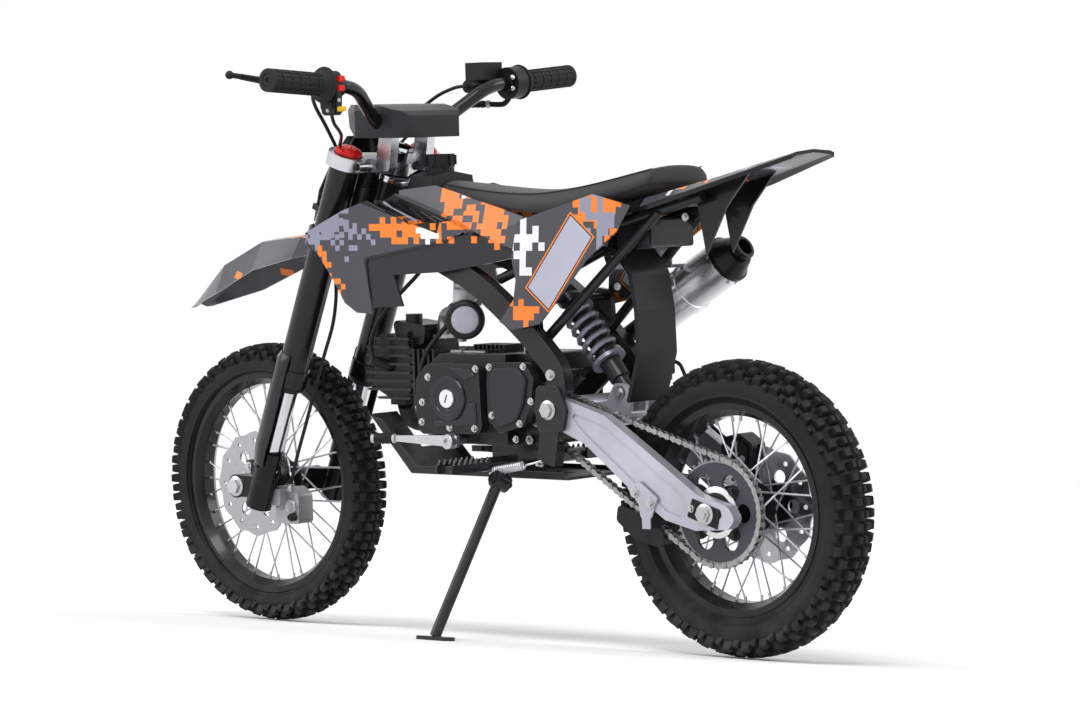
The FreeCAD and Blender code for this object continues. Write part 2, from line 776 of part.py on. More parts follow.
tail_rail = (V(240, 60, 665), V(30, 48, 717))
rail = fuse(
    [
        rod(V(430, rail_y, 590), tail_rail[0], RAIL_R),
        rod(tail_rail[0], tail_rail[1], RAIL_R),
        rod(V(330, rail_y, 500), V(110, 56, 695), RAIL_R),
        Part.makeSphere(RAIL_R, tail_rail[0]),
    ]
)
cross = [rod(V(x, -y, z), V(x, y, z), RAIL_R) for x, y, z in ((240, 60, 665), (60, 50, 709))]
shock_top = V(347, 0, 554)
bar_end_y = SPAR_Y - 8 - GAP
shock_bar = rod(V(shock_top.x, -bar_end_y, shock_top.z + 1), V(shock_top.x, bar_end_y, shock_top.z + 1), 6)
battery_box = side_plate([(203, 676), (133, 686), (129, 638), (201, 635)], (-50, 50), 6)
bosses = [
    rod(V(200, 57, 675), V(200, 104.7, 675), 5),
    rod(V(340, 67, 625), V(340, 108.2, 625), 5),
    rod(V(240, 40, 665), V(240, 40, 702.4), 6),
]
bosses = bosses + [mirror_y(boss) for boss in bosses]
nodes["subframe"] = fuse([rail, mirror_y(rail), battery_box, shock_bar] + cross + bosses)

# Swingarm, its pivot and axle

arm_outline = [
    (326, 392),
    (300, 408),
    (256, 396),
    (199, 380),
    (120, 330),
    (15, 262),
    (-44, 246),
    (-58, 227),
    (-44, 211),
    (20, 207),
    (80, 221),
    (141, 260),
    (240, 334),
    (322, 366),
]
arm = side_plate(arm_outline, (ARM_IN, ARM_OUT), 14)
inner_face = side_plate(
    [(280, 388), (200, 364), (130, 318), (40, 258), (40, 224), (76, 234), (140, 276), (240, 350)],
    (ARM_OUT - 3, ARM_OUT + 1),
    10,
)
slot = block((-24, 0), (ARM_IN - 1, ARM_OUT + 1), (REAR_AXLE.z - AXLE_R - GAP, REAR_AXLE.z + AXLE_R + GAP))
slot_end = V(-24, 0, REAR_AXLE.z)
slot = fuse([slot] + [disc(at, AXLE_R + GAP, (ARM_IN - 1, ARM_OUT + 1)) for at in (REAR_AXLE, slot_end)])
arm = arm.cut(inner_face).cut(slot)
yoke = side_plate([(256, 352), (256, 380), (300, 396), (300, 362)], (-ARM_IN, ARM_IN), 6)
sleeve = disc(swing_pivot, 18, (-ARM_IN, ARM_IN))
shock_foot = V(229, 20, 410)
lug_outline = [(264, 372), (252, 405), (240, 424), (218, 424), (206, 408), (209, 376), (240, 356)]
shock_lugs = [side_plate(lug_outline, y, 8) for y in ((15, 22), (-22, -15))]
lug_base = side_plate([(264, 360), (264, 380), (206, 380), (206, 368)], (-22, 22), 3)
shock_bolt = disc(V(shock_foot.x, 0, shock_foot.z), 5, (-27, 27))
swing = fuse([arm, mirror_y(arm), yoke, sleeve, lug_base, shock_bolt] + shock_lugs)
nodes["swingarm"] = swing.cut(pivot_hole)

bolt_head = V(swing_pivot.x, ARM_OUT + 9 + GAP, swing_pivot.z)
bolt_hex = Part.Face(Part.makePolygon(hexagon(bolt_head, V(0, 1, 0), 12))).extrude(V(0, 8, 0))
pivot_bolt = disc(swing_pivot, PIVOT_R, (-ARM_OUT - 17, ARM_OUT + 17))
nodes["pivot_bolt"] = fuse([pivot_bolt, bolt_hex, mirror_y(bolt_hex)])
nut_face = V(REAR_AXLE.x, ARM_OUT + GAP, REAR_AXLE.z)
axle_hex = Part.Face(Part.makePolygon(hexagon(nut_face, V(0, 1, 0), 13))).extrude(V(0, 9, 0))
rear_axle = disc(REAR_AXLE, AXLE_R, (-ARM_OUT - 12, ARM_OUT + 12))
nodes["rear_axle"] = fuse([rear_axle, axle_hex, mirror_y(axle_hex)])

# Shock: a body, two seats and a coil

SHOCK_R = 15.0
COIL_R = 24.0
COIL_WIRE_R = 4.5
COIL_TURNS = 5
COIL_STEPS = 12
shock_low = V(shock_foot.x, 0, shock_foot.z)
shock_line = shock_top - shock_low
shock_length = shock_line.Length
shock_line.normalize()
shock_side = shock_line.cross(V(0, 1, 0))
shock_side.normalize()


def on_shock(along):
    return shock_low + shock_line * along


coil_low = 66.0
coil_high = shock_length - 26.0


def coil():
    """The spring's wire as a six-sided bar with flat faces, wound round the shock."""
    across = shock_line.cross(shock_side)
    low = coil_low + COIL_WIRE_R - 1
    rise = (coil_high - coil_low - 2 * COIL_WIRE_R + 2) / (COIL_TURNS * COIL_STEPS)
    rings = []
    for number in range(COIL_TURNS * COIL_STEPS + 1):
        turn = 360.0 * number / COIL_STEPS
        out = shock_side * cos(turn) + across * sin(turn)
        centre = on_shock(low + rise * number) + out * COIL_R
        corners = range(0, 360, 60)
        ring = [out * (COIL_WIRE_R * cos(a)) + shock_line * (COIL_WIRE_R * sin(a)) for a in corners]
        rings.append([centre + offset for offset in ring])
    faces = [Part.Face(Part.makePolygon(ring + [ring[0]])) for ring in (rings[0], rings[-1])]
    for ring, onward in zip(rings, rings[1:]):
        for corner in range(6):
            beside = (corner + 1) % 6
            thirds = (
                (ring[corner], ring[beside], onward[corner]),
                (ring[beside], onward[beside], onward[corner]),
            )
            for third in thirds:
                faces.append(Part.Face(Part.makePolygon(list(third) + [third[0]])))
    return Part.Solid(Part.Shell(faces))


shock_pieces = [
    disc(shock_low, 13, (-14.7, 14.7)),
    rod(on_shock(0), on_shock(26), 12),
    rod(on_shock(26), on_shock(coil_low), 17),
    rod(on_shock(coil_low - 6), on_shock(coil_low), COIL_R + 5),
    rod(on_shock(coil_low), on_shock(coil_high), SHOCK_R),
    rod(on_shock(coil_high), on_shock(coil_high + 6), COIL_R + 5),
    rod(on_shock(coil_high), on_shock(shock_length), SHOCK_R),
]
shock = fuse(shock_pieces + [coil(), disc(shock_top, 14, (-16, 16))])
shock = shock.cut(disc(shock_low, 5 + GAP, (-30, 30)))
nodes["shock"] = shock.cut(disc(shock_top + V(0, 0, 1), 6 + GAP, (-30, 30)))

# Engine

CASE_Y = (-78.0, 80.0)
LEFT_COVER_Y = 100.0
SPROCKET_COVER_Y = 97.0
RIGHT_COVER_Y = -100.0
case_outline = [(350, 325), (350, 440), (380, 470), (560, 470), (599.7, 440), (599.7, 360), (570, 325)]
flywheel_cover = [(535, 456), (459, 454), (455, 344), (593, 340), (597, 428), (575, 452)]
sprocket_cover = [
    (439, 458),
    (362, 459),
    (344, 434),
    (352, 392),
    (368, 359),
    (418, 345),
    (443, 366),
    (444, 430),
]
clutch_cover = [(420, 360), (408, 410), (430, 462), (530, 464), (560, 420), (545, 350), (470, 334)]
flywheel_at = V(526, 0, 399)
case = fuse(
    [
        side_plate(case_outline, CASE_Y, 12),
        side_plate(flywheel_cover, (CASE_Y[1] - 2, LEFT_COVER_Y), 14),
        disc(flywheel_at, 36, (LEFT_COVER_Y - 1, LEFT_COVER_Y + 3)),
        disc(flywheel_at, 11, (LEFT_COVER_Y + 2, LEFT_COVER_Y + 5)),
        side_plate(sprocket_cover, (CASE_Y[1] - 2, SPROCKET_COVER_Y), 12),
        side_plate(clutch_cover, (RIGHT_COVER_Y, CASE_Y[0] + 2), 18),
        disc(V(480, 0, 405), 46, (RIGHT_COVER_Y - 4, RIGHT_COVER_Y + 1)),
        side_plate([(395, 465), (402, 488), (424, 488), (430, 465)], (-20, 20), 4),
    ]
)
sprocket_room = block((330, 418), (CHAIN_Y - 10, CASE_Y[1]), (320, 475))
case = case.cut(sprocket_room)
case = case.cut(disc(flywheel_at, 8, (LEFT_COVER_Y + 4, LEFT_COVER_Y + 6)))
nodes["crankcase"] = case

# Cylinder and head, finned, leaning up by the slope of their own outline

FIN_T = 3.5
BARREL_FINS = 5
HEAD_FINS = 8
head_outline = [(655, 388), (655, 498), (735, 506), (752, 480), (752, 404), (716, 386)]
barrel = side_plate([(600, 388), (600, 462), (660, 472), (660, 398)], (-40, 40))
fins = [
    side_plate([(x, 380), (x, 474), (x + FIN_T, 474), (x + FIN_T, 380)], (-50, 50))
    for x in (602 + 11 * number for number in range(BARREL_FINS))
]
head_core = side_plate([(655, 396), (655, 490), (730, 498), (744, 476), (744, 408), (714, 394)], (-42, 42), 8)
head_full = side_plate(head_outline, (-52, 52), 10)
fin_heights = [391 + 14 * number for number in range(HEAD_FINS)]
slabs = [block((650, 760), (-60, 60), (z, z + FIN_T)) for z in fin_heights]
head_fins = [head_full.common(slab) for slab in slabs]
rocker = side_plate([(708, 521), (634, 512), (640, 480), (700, 488)], (-34, 34), 8)
inlet_pad = block((606, 634), (-16, 16), (466, 490))
spark_boss = rod(V(700, 30, 440), V(716, 58, 452), 9)
valve_cap = rod(V(677, 14, 512), V(677, 14, 530), 14)
nodes["cylinder"] = fuse([barrel, head_core, rocker, inlet_pad, spark_boss, valve_cap] + fins + head_fins)

# Carburettor, its manifold and filter

inlet = V(620, 0, 490 + GAP)
carb_rear = V(536, 42, 523)
filter_front = V(521, 59, 524)
filter_back = V(488, 96, 526)
filter_line = filter_back - filter_front
filter_line.normalize()
nodes["carburettor"] = fuse(
    [
        block((inlet.x - 14, inlet.x + 14), (-16, 16), (inlet.z, inlet.z + 6)),
        pipe([inlet + V(0, 0, 3), inlet + V(-4, 4, 38), V(572, 22, 532)], 13),
        rod(V(578, 18, 533), carb_rear, 19),
        rod(V(560, 26, 545), V(560, 26, 500), 17),
        rod(V(560, 26, 540), V(556, 28, 582), 13),
        rod(carb_rear - filter_line * 4, filter_front + filter_line * 2, 16),
        rod(filter_front, filter_back, 31),
        rod(filter_back - filter_line, filter_back + filter_line * 2, 22),
    ]
)

# Exhaust

SILENCER_R = 37.0
EXHAUST_Y = -128.0
silencer_tip = V(297, EXHAUST_Y, 513)
silencer_line = V(-cos(30), 0, sin(30))


def on_silencer(along):
    return silencer_tip + silencer_line * along


pipe_points = [
    V(725, -10, 378),
    V(735, -30, 348),
    V(690, -90, 334),
    V(580, -118, 340),
    V(450, -124, 400),
    on_silencer(-61),
    on_silencer(-GAP),
]
flange = block((708, 742), (-26, 8), (378, 391 - GAP))
nodes["exhaust_pipe"] = fuse([pipe(pipe_points, 14), flange])
strap_at = 104.0
cap_at = 202.0
front_cone = Part.makeCone(19, SILENCER_R, 20, silencer_tip, silencer_line)
end_cone = Part.makeCone(SILENCER_R, 25, 24, on_silencer(cap_at), silencer_line)
strap_top = on_silencer(strap_at).z + (SILENCER_R + 2) / cos(30)
rail_at = V(205, -66.8 - RAIL_R + 2.5, strap_top)
silencer = fuse(
    [
        front_cone,
        rod(on_silencer(20), on_silencer(cap_at), SILENCER_R),
        rod(on_silencer(cap_at - 6), on_silencer(cap_at), SILENCER_R + 2),
        rod(on_silencer(strap_at - 8), on_silencer(strap_at + 8), SILENCER_R + 2),
        end_cone,
        rod(on_silencer(cap_at + 20), on_silencer(cap_at + 38), 19),
        block((rail_at.x - 9, rail_at.x + 12), (EXHAUST_Y, rail_at.y), (strap_top - 8, strap_top - 3)),
        block((rail_at.x - 9, rail_at.x + 12), (rail_at.y - 4, rail_at.y), (strap_top - 8, strap_top + 18)),
    ]
)
nodes["silencer"] = silencer.cut(rod(on_silencer(cap_at - 2), on_silencer(cap_at + 40), 14))

# Skid plate, foot rests and levers

skid_line = [
    (300, SKID_BOTTOM),
    (300, SKID_BOTTOM + SKID_T),
    (638, SKID_BOTTOM + SKID_T),
    (725, 368),
    (729, 364),
    (641, SKID_BOTTOM),
]
lip_line = [
    (304, SKID_BOTTOM),
    (312, SKID_BOTTOM + 12),
    (630, SKID_BOTTOM + 12),
    (706, 358),
    (729, 364),
    (641, SKID_BOTTOM),
]
skid = fuse([side_plate(skid_line, (-70, 70))] + both(side_plate(lip_line, (66, 70))))
holes = [rod(V(x, 0, SKID_BOTTOM - 2), V(x, 0, SKID_BOTTOM + 30), 12) for x in (360, 400, 580)]
nodes["skid_plate"] = skid.cut([block((655, 760), (-80, 12), (310, 380))] + holes)

bar_x, bar_z = PEG_BAR
case_bottom = 325.0
PEG_IN = 118.0
PEG_OUT = 208.0
PEG_TEETH = 7


def peg():
    """A toothed foot rest: two racks joined by cross bars."""
    pitch = (PEG_OUT - PEG_IN) / PEG_TEETH
    rack = [(PEG_IN, bar_z - 8)]
    for number in range(PEG_TEETH):
        start = PEG_IN + pitch * number
        rack += [(start, bar_z + 6), (start + pitch * 0.35, bar_z + 14), (start + pitch * 0.6, bar_z + 6)]
    rack.append((PEG_OUT, bar_z + 6))
    rack.append((PEG_OUT, bar_z - 8))
    pieces = []
    for x in (bar_x - 18, bar_x + 14):
        points = [V(x, y, z) for y, z in rack]
        pieces.append(Part.Face(Part.makePolygon(points + [points[0]])).extrude(V(4, 0, 0)))
    for number in range(0, PEG_TEETH + 1, 2):
        y = PEG_IN + pitch * number
        y = min(max(y, PEG_IN + 3), PEG_OUT - 3)
        pieces.append(block((bar_x - 18, bar_x + 18), (y - 3, y + 3), (bar_z - 8, bar_z + 4)))
    pieces.append(rod(V(bar_x, PEG_IN - 12, bar_z), V(bar_x, PEG_IN + 6, bar_z), PEG_BAR_R))
    return fuse(pieces)


# Side stand: it swings about one pin from its parked place to the place along the swingarm

stand_centre = V(*STAND_PIVOT)
stand_pivot = leaned(stand_centre)
stand_foot = stand_pivot + V(STAND_REACH_X, STAND_REACH_Y, FOOT_T - stand_pivot.z)
down_leg = upright(stand_foot) - stand_centre
folded_leg = V(*FOLDED_FOOT) - stand_centre
STAND_FOLD = round(math.degrees(down_leg.getAngle(folded_leg)), 1)
stand_axis = down_leg.cross(folded_leg)
stand_axis.normalize()
STAND_AXIS = (stand_axis.x, stand_axis.y, stand_axis.z)
BOSS_HALF = 10.0
PIN_R = 5.0


def on_pin(along):
    return stand_centre + stand_axis * along


stand_line = leaned(stand_axis)
boss = rod(stand_pivot - stand_line * BOSS_HALF, stand_pivot + stand_line * BOSS_HALF, STAND_BOSS_R)
foot_plate = top_plate(
    [
        (stand_foot.x - 34, stand_foot.y - 14),
        (stand_foot.x - 34, stand_foot.y + 16),
        (stand_foot.x + 24, stand_foot.y + 24),
        (stand_foot.x + 24, stand_foot.y - 18),
    ],
    (0, FOOT_T),
    8,
)
stand = fuse([rod(stand_pivot, stand_foot, STAND_TUBE_R), foot_plate, boss])
stand = stand.common(block((-900, 1900), (-900, 900), (0, 900)))
stand = stand.cut(rod(stand_pivot - stand_line * 20, stand_pivot + stand_line * 20, PIN_R + GAP))

bracket_at = -BOSS_HALF - GAP
foot_bar = rod(V(bar_x, -PEG_IN + 8, bar_z), V(bar_x, PEG_IN - 8, bar_z), PEG_BAR_R)
nodes["footpegs"] = fuse(
    [
        foot_bar,
        peg(),
        mirror_y(peg()),
        block((bar_x - 26, bar_x + 30), (-60, 60), (bar_z + 4, case_bottom - GAP)),
        block((bar_x - 10, bar_x + 10), (-52, 52), (SKID_BOTTOM + SKID_T + GAP, bar_z - 4)),
        rod(on_pin(bracket_at - 6), on_pin(bracket_at), STAND_BOSS_R),
        rod(on_pin(bracket_at - 9), V(bar_x, PEG_IN - 44, bar_z - 2), 7),
        rod(on_pin(bracket_at - 4), on_pin(BOSS_HALF + 4), PIN_R),
        rod(on_pin(BOSS_HALF + GAP), on_pin(BOSS_HALF + 5), PIN_R + 4),
        block((bar_x - 6, bar_x + 60), (-96, -86), (bar_z - 9, bar_z + 9)),
    ]
)

lever_at = V(512, 0, case_bottom + 6)
lever_plate = side_plate(
    [
        (500, case_bottom - 4),
        (500, case_bottom + 16),
        (644, case_bottom + 12),
        (644, case_bottom + 3),
    ],
    (104, 111),
    4,
)
nodes["gear_lever"] = fuse(
    [
        disc(lever_at, 6.5, (CASE_Y[1] + GAP, 112)),
        lever_plate,
        rod(V(640, 107, case_bottom + 7), V(678, 122, case_bottom + 7), 7.5),
    ]
)
pedal_at = V(bar_x + 50, 0, bar_z)
pedal_plate = side_plate(
    [
        (pedal_at.x - 10, bar_z - 8),
        (pedal_at.x - 10, bar_z + 8),
        (648, bar_z + 8),
        (648, bar_z - 2),
    ],
    (-111, -104),
    4,
)
nodes["brake_pedal"] = fuse(
    [
        disc(pedal_at, 8, (-112, -96 - GAP)),
        pedal_plate,
        block((640, 662), (-132, -100), (bar_z - 2, bar_z + 8)),
    ]
)

# Bodywork


def sheet(outline, y_at, thickness=4.0):
    """A flat panel from (x, z) points. Its outer face lies where y_at says, and it is thick inwards."""
    points = [V(x, y_at(x, z), z) for x, z in outline]
    face = Part.Face(Part.makePolygon(points + [points[0]]))
    return face.extrude(V(0, -thickness, 0))


tank_rows = [
    # x, lower half width, height, upper half width, height
    (500, 62, 634, 50, 684),
    (590, 64, 662, 50, 716),
    (594, 64, 666, 48, 764),
    (650, 50, 700, 40, 766),
    (670, 36, 716, 28, 748),
]
tank = section_loft([(x, [(0, h), (w2, h - 8), (w, z), (0, z)]) for x, w, z, w2, h in tank_rows])
filler = V(622, 0, 770)
tank = tank.fuse(rod(filler - V(0, 0, 30), filler, 24))
nodes["tank"] = tank.cut(block((640, nose + 9), (-21.8, 21.8), (600, 723)))
ribs = []
for number in range(10):
    rib = block((filler.x + 22, filler.x + 28), (-4, 4), (filler.z + 4, filler.z + 20))
    rib.rotate(filler, V(0, 0, 1), 36.0 * number)
    ribs.append(rib)
nodes["fuel_cap"] = fuse([rod(filler + V(0, 0, GAP), filler + V(0, 0, 22), 25)] + ribs)


def wing_y(x, z):
    return 105 + (x - 450) * 0.13


def cover_y(x, z):
    return 72 + (740 - z) * 0.28


def panel_y(x, z):
    return 106 + (724 - z) * 0.07


wing_outline = [
    (790, 669),
    (717, 703),
    (666, 720),
    (582, 680),
    (503, 684),
    (469, 670),
    (520, 650),
    (584, 639),
    (666, 625),
    (668, 617),
    (659, 536),
    (689, 538),
    (713, 554),
    (741, 600),
    (764, 633),
    (782, 648),
]
belly_outline = [
    (684, 626),
    (594, 642),
    (465, 664),
    (367, 638),
    (357, 630),
    (437, 615),
    (524, 603),
    (635, 598),
    (684, 598),
]
louvre_outline = [(680, 604), (618, 604), (600, 548), (668, 546)]
cover_outline = [
    (646, 735),
    (567, 742),
    (488, 721),
    (419, 704),
    (365, 690),
    (378, 640),
    (425, 652),
    (477, 671),
    (548, 696),
    (644, 728),
]
shelf_line = [(668, 720), (582, 681), (503, 685), (467, 668), (470, 664), (504, 680), (582, 676), (670, 715)]
recess_outline = [(672, 716), (640, 730), (548, 700), (474, 672), (468, 664), (504, 680), (582, 676)]
shroud = fuse(
    [
        sheet(wing_outline, wing_y),
        sheet(belly_outline, lambda x, z: wing_y(x, z) - 3),
        sheet(louvre_outline, lambda x, z: wing_y(x, z) - 3),
        sheet(cover_outline, cover_y),
        side_plate(recess_outline, (85, 89)),
        rod(V(600, 88, 700), V(600, 58.9, 700), 6),
        side_plate(shelf_line, (86, 109)).common(sheet(shelf_line, wing_y, 60)),
    ]
)
nodes["shroud_left"] = shroud
nodes["shroud_right"] = mirror_y(shroud)

panel_outline = [
    (203, 724),
    (128, 706),
    (155, 665),
    (217, 619),
    (271, 560),
    (308, 522),
    (366, 512),
    (392, 525),
    (363, 560),
    (359, 591),
    (369, 625),
    (358, 684),
]
exhaust_side = [
    (203, 724),
    (128, 706),
    (155, 665),
    (217, 628),
    (262, 584),
    (322, 548),
    (384, 536),
    (363, 560),
    (359, 591),
    (369, 625),
    (358, 684),
]
nodes["side_panel_left"] = sheet(panel_outline, panel_y)
nodes["side_panel_right"] = mirror_y(sheet(exhaust_side, panel_y))

seat_rows = [
    # x, lower half width, height, upper half width, height
    (590.9, 34, 732, 26, 749),
    (534, 58, 714, 46, 743),
    (404, 78, 698, 58, 731),
    (300, 84, 692, 66, 735),
    (200, 84, 712, 68, 750),
    (111, 76, 736, 60, 768),
]
nodes["seat"] = section_loft([(x, [(0, h), (w2, h - 6), (w, z), (0, z)]) for x, w, z, w2, h in seat_rows])

fender_back = [
    # x, half width, crown height, edge height
    (230, 80, 700, 690),
    (110, 84, 723, 706),
    (-10, 78, 749, 738),
    (-150, 52, 785, 779),
]
tail = section_loft(
    [(x, [(0, z), (w * 0.8, z - 3), (w, e), (w, e - 7), (w * 0.8, z - 9), (0, z - 5)]) for x, w, z, e in fender_back]
)
kite = [(51.7, 730), (51.7, 706), (36, 627), (-6, 700), (-57, 757), (-20, 748)]
kites = both(side_plate(kite, (30, 34)))
nodes["rear_fender"] = fuse([tail] + kites)

guard_outline = [
    (268, 641),
    (212, 641),
    (178, 600),
    (168, 540),
    (166, 470),
    (190, 395),
    (196, 397),
    (173, 470),
    (175, 540),
    (186, 597),
    (216, 633),
    (266, 633),
]
guard_tab = block((234, 246), (-20, 20), (636, 665 - RAIL_R - GAP))
nodes["inner_mudguard"] = fuse([side_plate(guard_outline, (-46, 46), 20), guard_tab])

# Front number board, fork guards, fender and brake line


def board_section(z, x_edge, half, bulge):
    """A closed outline across the board at one height: two arcs, a wall apart."""
    wall = 3.0
    outer = Part.Arc(V(x_edge, half, z), V(x_edge + bulge, 0, z), V(x_edge, -half, z)).toShape()
    x_back = x_edge - wall
    inner = Part.Arc(V(x_back, -half, z), V(x_back + bulge, 0, z), V(x_back, half, z)).toShape()
    ends = [
        Part.LineSegment(V(x_edge, -half, z), V(x_edge - wall, -half, z)).toShape(),
        Part.LineSegment(V(x_edge - wall, half, z), V(x_edge, half, z)).toShape(),
    ]
    return Part.Wire([outer, ends[0], inner, ends[1]])


board_rows = [
    # height, how far the side edge is ahead of the stem's top, half width, bulge
    (826, 74, 48, 20),
    (797, 72, 80, 34),
    (738, 104, 88, 32),
    (687, 128, 78, 26),
]
board_sections = [board_section(z, nose + ahead, half, bulge) for z, ahead, half, bulge in board_rows]
board = Part.makeLoft(board_sections, True, True)
tab_ahead = (FORK_OFFSET + FORK_OUTER_R + GAP, FORK_OFFSET + FORK_OUTER_R + 26)
tab_down = (down_to(712, 66), down_to(712, 66) + 10)
tabs = [
    steer_box(tab_down, tab_ahead, sorted((side * (LEG_Y - 16), side * (LEG_Y - 3))))
    for side in (-1, 1)
]
nodes["number_plate"] = fuse([board] + tabs)

guard_in = FORK_TUBE_R + 5 + GAP
guards = []
for side in (-1, 1):
    guard_top = fork_point(FORK_SEAL - 20, side * LEG_Y)
    guard_foot = fork_point(FRONT_AXLE.z + 34, side * LEG_Y)
    shell = tube(guard_top, guard_foot, guard_in + 3.5, guard_in)
    room = steer_box(
        (down_to(FORK_SEAL), down_to(FOOT_BOTTOM)),
        (FORK_OFFSET + 3, FORK_OFFSET + 60),
        sorted((side * (LEG_Y - 50), side * (LEG_Y + 50))),
    )
    guards.append(shell.common(room))
nodes["fork_guards"] = Part.makeCompound(guards)

fender_rows = [
    # ahead of the stem's top, half width, crown height, edge height
    (89, 28, 640, 632),
    (150, 40, 652, 632),
    (200, 62, 664, 624),
    (290, 68, 656, 604),
    (390, 58, 616, 564),
    (487, 26, 547, 537),
]
fender = section_loft(
    [
        (nose + ahead, [(0, z), (w * 0.6, z - 5), (w, e), (w - 4, e), (w * 0.6 - 2, z - 10), (0, z - 5)])
        for ahead, w, z, e in fender_rows
    ]
)
lower_foot = down_to(LOWER_CLAMP_TOP) + LOWER_CLAMP_T
fender_seat = steer_box((lower_foot + GAP, lower_foot + 10), (4, 52), (-26, 26))
nodes["front_fender"] = fender.fuse(fender_seat)

axle_x = FRONT_AXLE.x
caliper_body = side_plate(
    [(axle_x - 116, 176), (axle_x - 116, 226), (axle_x - 96, 238), (axle_x - 64, 236), (axle_x - 60, 176)],
    (FRONT_DISC_Y - 18, FRONT_DISC_Y + 16),
    8,
)
caliper_arm = block((axle_x - 90, axle_x - 46), (FRONT_DISC_Y + 12, LEG_Y - 6), (208, 236))
foot_room = rod(fork_point(FOOT_TOP + 20), fork_point(FOOT_BOTTOM - 20), FORK_TUBE_R + 5 + GAP)
front_pads = (FRONT_DISC_Y - DISC_T / 2 - PAD_GAP, FRONT_DISC_Y + DISC_T / 2 + PAD_GAP)
disc_room = disc(FRONT_AXLE, FRONT_DISC_R + 4, front_pads)
nodes["front_caliper"] = caliper_body.fuse(caliper_arm.cut(foot_room)).cut(disc_room)
hose_points = [
    V(axle_x - 92, 60, 239.3),
    V(axle_x - 112, 62, 290),
    V(axle_x - 142, 62, 360),
    V(axle_x - 172, 60, 440),
    V(nose + 108, 57, 520),
    V(nose + 102, 54, 585),
    V(nose + 124, 51, 645),
    V(nose + 112, 44, 705),
    V(nose + 92, 26, 757),
    V(nose + 66, -10, 802),
    V(nose + 60, -66, 836),
    V(nose + 44, -96, 866),
    V(nose + 6, -108, 892),
    V(cylinder_at.x + 31, -116, cylinder_at.z - 1.5),
]
hose_end = V(cylinder_at.x + 30, -(cylinder_at.y - 42) + 2 * GAP, cylinder_at.z - 2)
nodes["front_brake_hose"] = pipe(hose_points + [hose_end], 3)

# Chain, guide and rear brake


def chain_loop(grow, y):
    """The chain's path round both sprockets, grown outwards, as a slab between two values of y."""
    rear_r = sprocket_radius(REAR_TEETH)
    drive_r = sprocket_radius(DRIVE_TEETH)
    dx = DRIVE_CENTRE[0]
    dz = DRIVE_CENTRE[1] - REAR_AXLE.z
    span = math.hypot(dx, dz)
    slope = math.degrees(math.atan2(dz, dx))
    open_angle = math.degrees(math.asin((rear_r - drive_r) / span))
    r1 = rear_r + grow
    r2 = drive_r + grow
    up = slope - open_angle + 90
    low = slope + open_angle - 90

    def at_rear(turn):
        return V(r1 * cos(turn), y[0], REAR_AXLE.z + r1 * sin(turn))

    def at_drive(turn):
        return V(dx + r2 * cos(turn), y[0], DRIVE_CENTRE[1] + r2 * sin(turn))

    edges = [
        Part.LineSegment(at_rear(up), at_drive(up)).toShape(),
        Part.Arc(at_drive(up), at_drive(slope), at_drive(low)).toShape(),
        Part.LineSegment(at_drive(low), at_rear(low)).toShape(),
        Part.Arc(at_rear(low), at_rear(slope + 180), at_rear(up)).toShape(),
    ]
    return Part.Face(Part.Wire(edges)).extrude(V(0, y[1] - y[0], 0))


CHAIN_ROOM = 0.7
chain_y = (CHAIN_Y - CHAIN_W / 2, CHAIN_Y + CHAIN_W / 2)
teeth_y = (CHAIN_Y - SPROCKET_T / 2 - CHAIN_ROOM, CHAIN_Y + SPROCKET_T / 2 + CHAIN_ROOM)
chain = chain_loop(CHAIN_H / 2, chain_y).cut(chain_loop(-CHAIN_H / 2, chain_y))
nodes["chain"] = chain.cut(chain_loop(CHAIN_H / 2 - 1.2, teeth_y))

drive_centre = V(DRIVE_CENTRE[0], 0, DRIVE_CENTRE[1])
drive = toothed(drive_centre, DRIVE_TEETH, (CHAIN_Y - SPROCKET_T / 2, CHAIN_Y + SPROCKET_T / 2), 6)
nodes["drive_sprocket"] = drive.fuse(disc(drive_centre, 12, (CHAIN_Y - 10 + GAP, CHAIN_Y + 8)))

guide_line = [(192, 240), (112, 214), (100, 190), (106, 174), (160, 186), (196, 214)]
guide_y = (CHAIN_Y - CHAIN_W / 2 - 1, CHAIN_Y + CHAIN_W / 2 + 1)
guide_room = chain_loop(CHAIN_H / 2 + 1, guide_y).cut(chain_loop(-CHAIN_H / 2 - 1, guide_y))
guide_block = side_plate(guide_line, (guide_y[0] - 5, guide_y[1] + 5), 8).cut(guide_room)
bracket = side_plate(
    [(155, 272), (128, 279), (92, 254), (98, 240), (106, 222), (126, 222), (130, 244)],
    (ARM_OUT + GAP, ARM_OUT + 3 + GAP),
    5,
)
hanger = block((108, 124), (guide_y[1] + 1, ARM_OUT + 3), (206, 230))
nodes["chain_guide"] = fuse([guide_block, bracket, hanger])

caliper_line = [(18, 290), (14, 330), (40, 346), (74, 338), (78, 292)]
caliper = side_plate(caliper_line, (REAR_DISC_Y - 16, REAR_DISC_Y + 18), 8)
caliper_foot = block((22, 62), (-ARM_IN + GAP, REAR_DISC_Y - 12), (256, 300))
rear_pads = (REAR_DISC_Y - DISC_T / 2 - PAD_GAP, REAR_DISC_Y + DISC_T / 2 + PAD_GAP)
rear_disc_room = disc(REAR_AXLE, REAR_DISC_R + 4, rear_pads)
nodes["rear_caliper"] = caliper.fuse(caliper_foot).cut(rear_disc_room)

